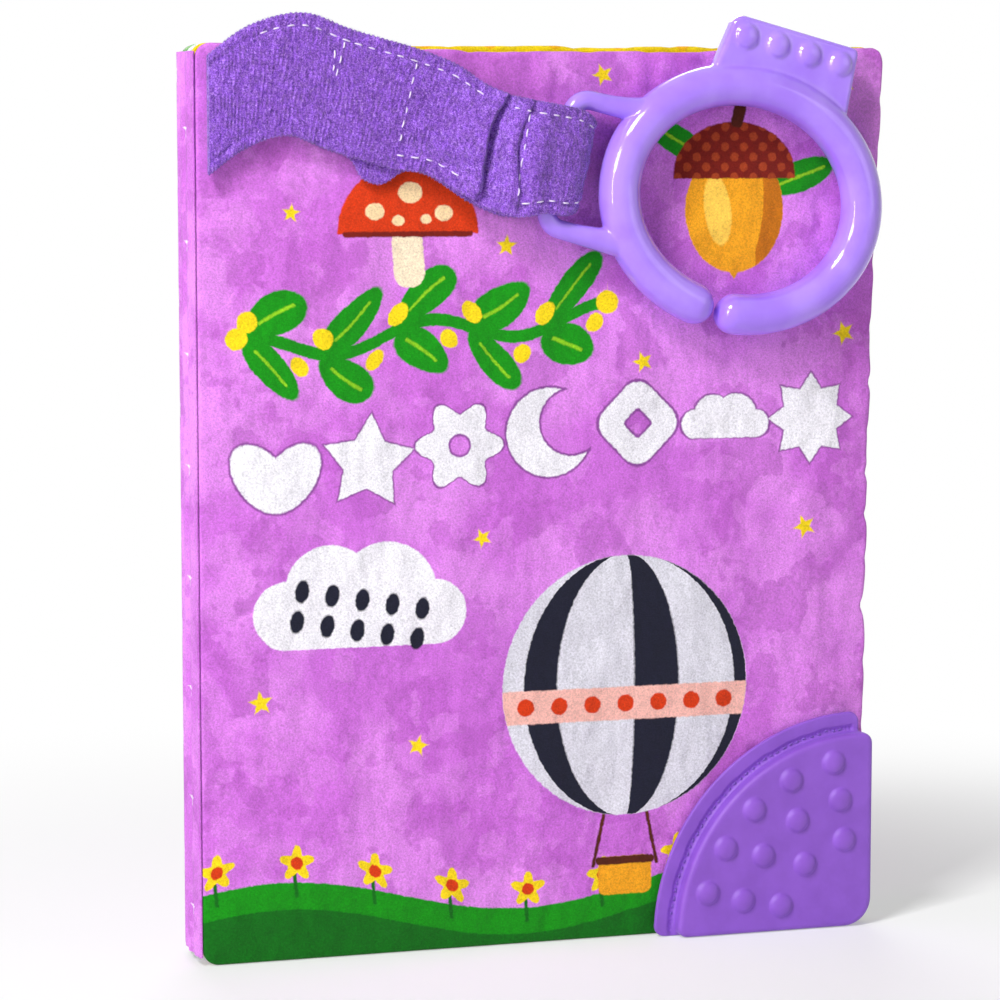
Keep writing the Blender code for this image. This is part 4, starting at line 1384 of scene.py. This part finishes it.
def front_print():
    art = Print("printed_cloth")
    art.ground(mottled(art, *ORCHIDS))
    meadow(art)
    vine(art)
    toadstool(art, 50, 177)
    acorn(art, 131, 179)
    rain_cloud(art, 38, 83)
    balloon(art, 104, 62, 31)
    row_of_shapes(art)
    for x, y, size in ((14, 199, 3), (74, 168, 2.6), (108, 140, 2.6), (160, 146, 3),
                       (150, 99, 3), (68, 99, 2.4), (14, 62, 3), (52, 50, 2.6),
                       (160, 206, 2.4), (98, 208, 2.6), (22, 176, 2.2)):
        art.ink(art.star(x, y, size, 0.45, 5, x * 7), YELLOW)
    return cloth_finish(art, art.colour)


def starry(name, ground, star_colour, pitch):
    """Mottled cloth with rows of small stars."""
    art = Print(name)
    art.ground(mottled(art, *ground), round_spine=True)
    for shift in (0, pitch / 2):
        cells = art.repeated(art.at(shift, shift), pitch, pitch)
        art.ink(art.star(0, 0, 3.4 - 2.6 * shift / pitch, 0.48, 5, 18, cells), star_colour)
    return cloth_finish(art, art.colour)


def dotted_print():
    """Yellow cloth with dots of two sizes."""
    art = Print("yellow_cloth")
    art.ground(mottled(art, "f2d81a", "ecce10", "e2be0a"))
    for shift, size, colour in ((0, 3.2, "fffbd8"), (8, 2, "f2b612")):
        art.ink(art.oval(0, 0, size, page=art.repeated(art.at(shift, shift), 16, 16)), colour)
    return cloth_finish(art, art.colour)


def striped_print():
    """Sky blue cloth with broad wavy stripes."""
    art = Print("sky_cloth")
    art.ground(mottled(art, "8ccaf2", "78bdec", "68aee2"))
    x, y, _ = art.split(art.page)
    wave = art.times(art.math("SINE", art.times(x, 0.35)), 1.6)
    cells = art.math("WRAP", art.math("ADD", y, wave), 9.0, -9.0)
    art.ink(art.within(art.math("ABSOLUTE", cells), 2.6, INK_EDGE), "f4f8fc")
    return cloth_finish(art, art.colour)


def checked_print():
    """Green gingham: two sets of stripes, darkest where they cross."""
    art = Print("green_cloth")
    art.ground(mottled(art, "d9f2c4", "cdecb6", "c3e6aa"))
    for k in (0, 1):
        line = art.split(art.page)[k]
        cells = art.math("ABSOLUTE", art.math("WRAP", line, 7.0, -7.0))
        stripe = art.within(cells, 3.5, INK_EDGE)
        art.ink(art.times(stripe, 0.55), "2f9a34")
    return cloth_finish(art, art.colour)


def velour_finish(name, root, pile_colour, tip):
    """Velour: dense short pile, speckled from a root colour, a painted shade deep in the pile, to a
    tip colour, a painted highlight where the fibre tips catch the light.
    """
    pile = Nodes(name)
    place = pile.millimetres()
    fibres = pile.noise(place, 2.6, 4, 0.8)
    tufts = pile.noise(pile.vector("MULTIPLY", place, (1, 1, 0.6)), 0.9, 3, 0.6)
    worn = pile.noise(place, 0.12, 3)
    # The fibres noise speckles the pile between painted shade (root) and painted highlight (tip)
    colour = pile.mix(pile.between(fibres, 0.36, 0.56), root, pile_colour)
    colour = pile.mix(pile.between(fibres, 0.54, 0.68), colour, tip)
    light = pile.times(tufts, 1.5, 0.28)
    light = pile.times(light, pile.times(worn, 0.3, 0.85))
    pile.set(Base_Color=pile.shade(colour, light), Roughness=1.0, Sheen_Weight=0.4,
             Sheen_Roughness=0.4, Specular_IOR_Level=0.1)
    relief = pile.bump(tufts, 0.9, 0.7 * MM)
    pile.set(Normal=pile.bump(fibres, 1.0, 0.36 * MM, relief))
    return pile.owner


def thread_finish(name, dark, light):
    """Twisted sewing thread."""
    thread = Nodes(name)
    place = thread.millimetres()
    ply = thread.noise(place, 6.0, 2, 0.6)
    thread.set(Base_Color=thread.mix(ply, dark, light), Roughness=0.6,
               Sheen_Weight=0.2, Normal=thread.bump(ply, 0.6, 0.08 * MM))
    return thread.owner


def plastic_finish():
    """Glossy lavender plastic, very slightly clouded and rippled as moulded parts are."""
    plastic = Nodes("ring_plastic")
    place = plastic.millimetres()
    clouds = plastic.noise(place, 0.09, 3)
    grain = plastic.noise(place, 0.5, 2)
    colour = plastic.mix(plastic.between(clouds, 0.3, 0.7), "a374f6", "b188fc")
    plastic.set(Base_Color=colour, Roughness=plastic.between(grain, 0.3, 0.7, 0.1, 0.16),
                Coat_Weight=0.6, Coat_Roughness=0.03,
                Normal=plastic.bump(clouds, 0.05, 1 * MM))
    return plastic.owner


def rubber_finish():
    """Matt purple silicone with a fine grain and a faint bloom."""
    rubber = Nodes("corner_rubber")
    place = rubber.millimetres()
    bloom = rubber.noise(place, 0.12, 4, 0.6)
    grain = rubber.noise(place, 3.5, 2, 0.6)
    colour = rubber.mix(rubber.between(bloom, 0.3, 0.7), "8650c2", "9058ce")
    rubber.set(Base_Color=colour, Roughness=rubber.between(grain, 0.2, 0.8, 0.42, 0.58),
               Sheen_Weight=0.12, Sheen_Roughness=0.4,
               Normal=rubber.bump(grain, 0.25, 0.06 * MM))
    return rubber.owner


def film_finish():
    """Crisp clear-grey film with fine creases."""
    film = Nodes("crinkle_film")
    place = film.millimetres()
    crease = film.noise(place, 0.25, 4, 0.7)
    film.set(Base_Color=film.mix(crease, "d4dae0", "f2f5f8"), Metallic=0.2,
             Roughness=film.between(crease, 0.3, 0.7, 0.15, 0.4),
             Normal=film.bump(crease, 0.6, 0.6 * MM))
    return film.owner


def wadding_finish():
    """Loose white polyester fibres."""
    fluff = Nodes("wadding")
    place = fluff.millimetres()
    fibres = fluff.noise(place, 1.4, 5, 0.75)
    fluff.set(Base_Color=fluff.mix(fibres, "dcdcd6", "f6f6f2"), Roughness=1.0,
              Sheen_Weight=0.3, Normal=fluff.bump(fibres, 0.9, 0.5 * MM))
    return fluff.owner


# Stage

CAMERA_PLACE = (-0.246, -0.784, 0.196)
CAMERA_YAW = math.radians(16.95)
CAMERA_PITCH = math.radians(6.28)
CAMERA_LENS, SENSOR_WIDTH = 122.4, 36
FLOOR_FADE = (0.1, 0.32)
FLOOR_GLOW = 0.35  # of the white behind, in the floor beside the book
FLOOR_HALF = 3
SKY_LIGHT = 0.14
# For each lamp: name, place, what it is turned to, size, power, and height if it isn't square
LAMPS = (("key_high", (-0.7, -0.62, 1.05), (0, 0, 0.12), 0.3, 12),
         ("key_low", (-0.92, -0.67, 0.56), (0, 0, 0.12), 0.28, 3.6),
         ("streak", (-1.15, -0.75, 0.25), (0, 0, 0.14), 0.09, 4.5, 1.3),
         ("fill", (1.1, -1.2, 0.5), (0, 0, 0.1), 0.8, 2),
         ("back", (0.2, 1.4, 1.1), (0, 0, 0.1), 0.9, 12))


def camera():
    data = bpy.data.cameras.new("camera")
    data.lens = CAMERA_LENS
    data.sensor_width = SENSOR_WIDTH
    data.clip_start = 0.01
    made = placed("camera", data)
    level = math.cos(CAMERA_PITCH)
    ahead = Vector((math.sin(CAMERA_YAW) * level, math.cos(CAMERA_YAW) * level,
                    -math.sin(CAMERA_PITCH)))
    made.location = CAMERA_PLACE
    made.rotation_euler = ahead.to_track_quat("-Z", "Y").to_euler()
    bpy.context.scene.camera = made


def area_light(name, place, target, size, power, size_y=None):
    data = bpy.data.lights.new(name, "AREA")
    data.energy = power
    data.size = size
    if size_y:
        data.shape = "RECTANGLE"
        data.size_y = size_y
    made = placed(name, data)
    made.location = place
    made.rotation_euler = (Vector(target) - Vector(place)).to_track_quat("-Z", "Y").to_euler()


def seen_directly(nodes):
    """1 for rays that look at the background, straight or through gloss and glass."""
    rays = nodes.add("LightPath").outputs
    first = nodes.math("MAXIMUM", rays["Is Camera Ray"], rays["Is Glossy Ray"])
    return nodes.math("MAXIMUM", first, rays["Is Transmission Ray"])


def world():
    """Full white where it is seen and faint where it lights the book."""
    sky = Nodes("studio", bpy.data.worlds.new("studio"))
    strength = sky.add("MapRange")
    sky.put(strength.inputs["To Min"], SKY_LIGHT)
    sky.put(strength.inputs["Value"], seen_directly(sky))
    sky.set(Color=(1, 1, 1, 1), Strength=strength.outputs[0])
    bpy.context.scene.world = sky.owner


def floor():
    """A white floor that takes the book's shadow near it and fades into the white behind."""
    finish = Nodes("floor_white")
    finish.set(Base_Color=(0.93, 0.93, 0.93, 1), Roughness=0.9, Specular_IOR_Level=0)
    away = finish.vector("LENGTH", finish.add("TexCoord").outputs["Object"])
    fade = finish.between(away, *FLOOR_FADE, FLOOR_GLOW)
    direct = finish.times(fade, seen_directly(finish))
    white = finish.add("Emission").outputs[0]
    mix = finish.fed("MixShader", (direct, finish.shader.outputs[0], white))
    finish.put(finish.tree.nodes["Material Output"].inputs["Surface"], mix.outputs[0])
    corners = [(x, y, 0) for x, y in ((-1, -1), (1, -1), (1, 1), (-1, 1))]
    made = add_mesh("floor", FLOOR_HALF * np.array(corners), [(0, 1, 2, 3)], finish.owner)
    made.location.z = -0.1 * MM


def studio():
    scene = bpy.context.scene
    scene.view_settings.view_transform = "Standard"
    camera()
    world()
    floor()
    for lamp in LAMPS:
        area_light(*lamp)


def build():
    orchid, plainer = front_print(), starry("printed_cloth_plain", ORCHIDS, "f4ecfa", 26.0)
    yellow, sky, green = dotted_print(), striped_print(), checked_print()
    film, fill = film_finish(), wadding_finish()
    cloths = ((orchid, yellow), (yellow, sky), (sky, green), (green, plainer))
    for number in range(len(LEAVES)):
        step = COVER_STEP if number == 0 else INNER_STEP
        wadding_pad(number, fill)
        crinkle_film(number, film)
        for side in (0, 1):
            made = cloth_panel(number, -1 if side == 0 else 1, step, cloths[number][side])
    for number in range(len(LEAVES) - 1):
        spine_strip(number, plainer)
    teether_ring(plastic_finish())
    # Each velour's first colour is painted shade deep in the pile, and its last a painted highlight
    # on the fibre tips
    strap(velour_finish("velour", "5a2ca2", "a468e4", "dcb8ff"),
          velour_finish("velour_tips", "7a42c4", "b482f2", "e4caff"),
          thread_finish("pale_thread", "dcc6f4", "f8f0ff"))
    corner_teether(rubber_finish(), thread_finish("purple_thread", "5a3398", "9466d2"))


studio()
build()
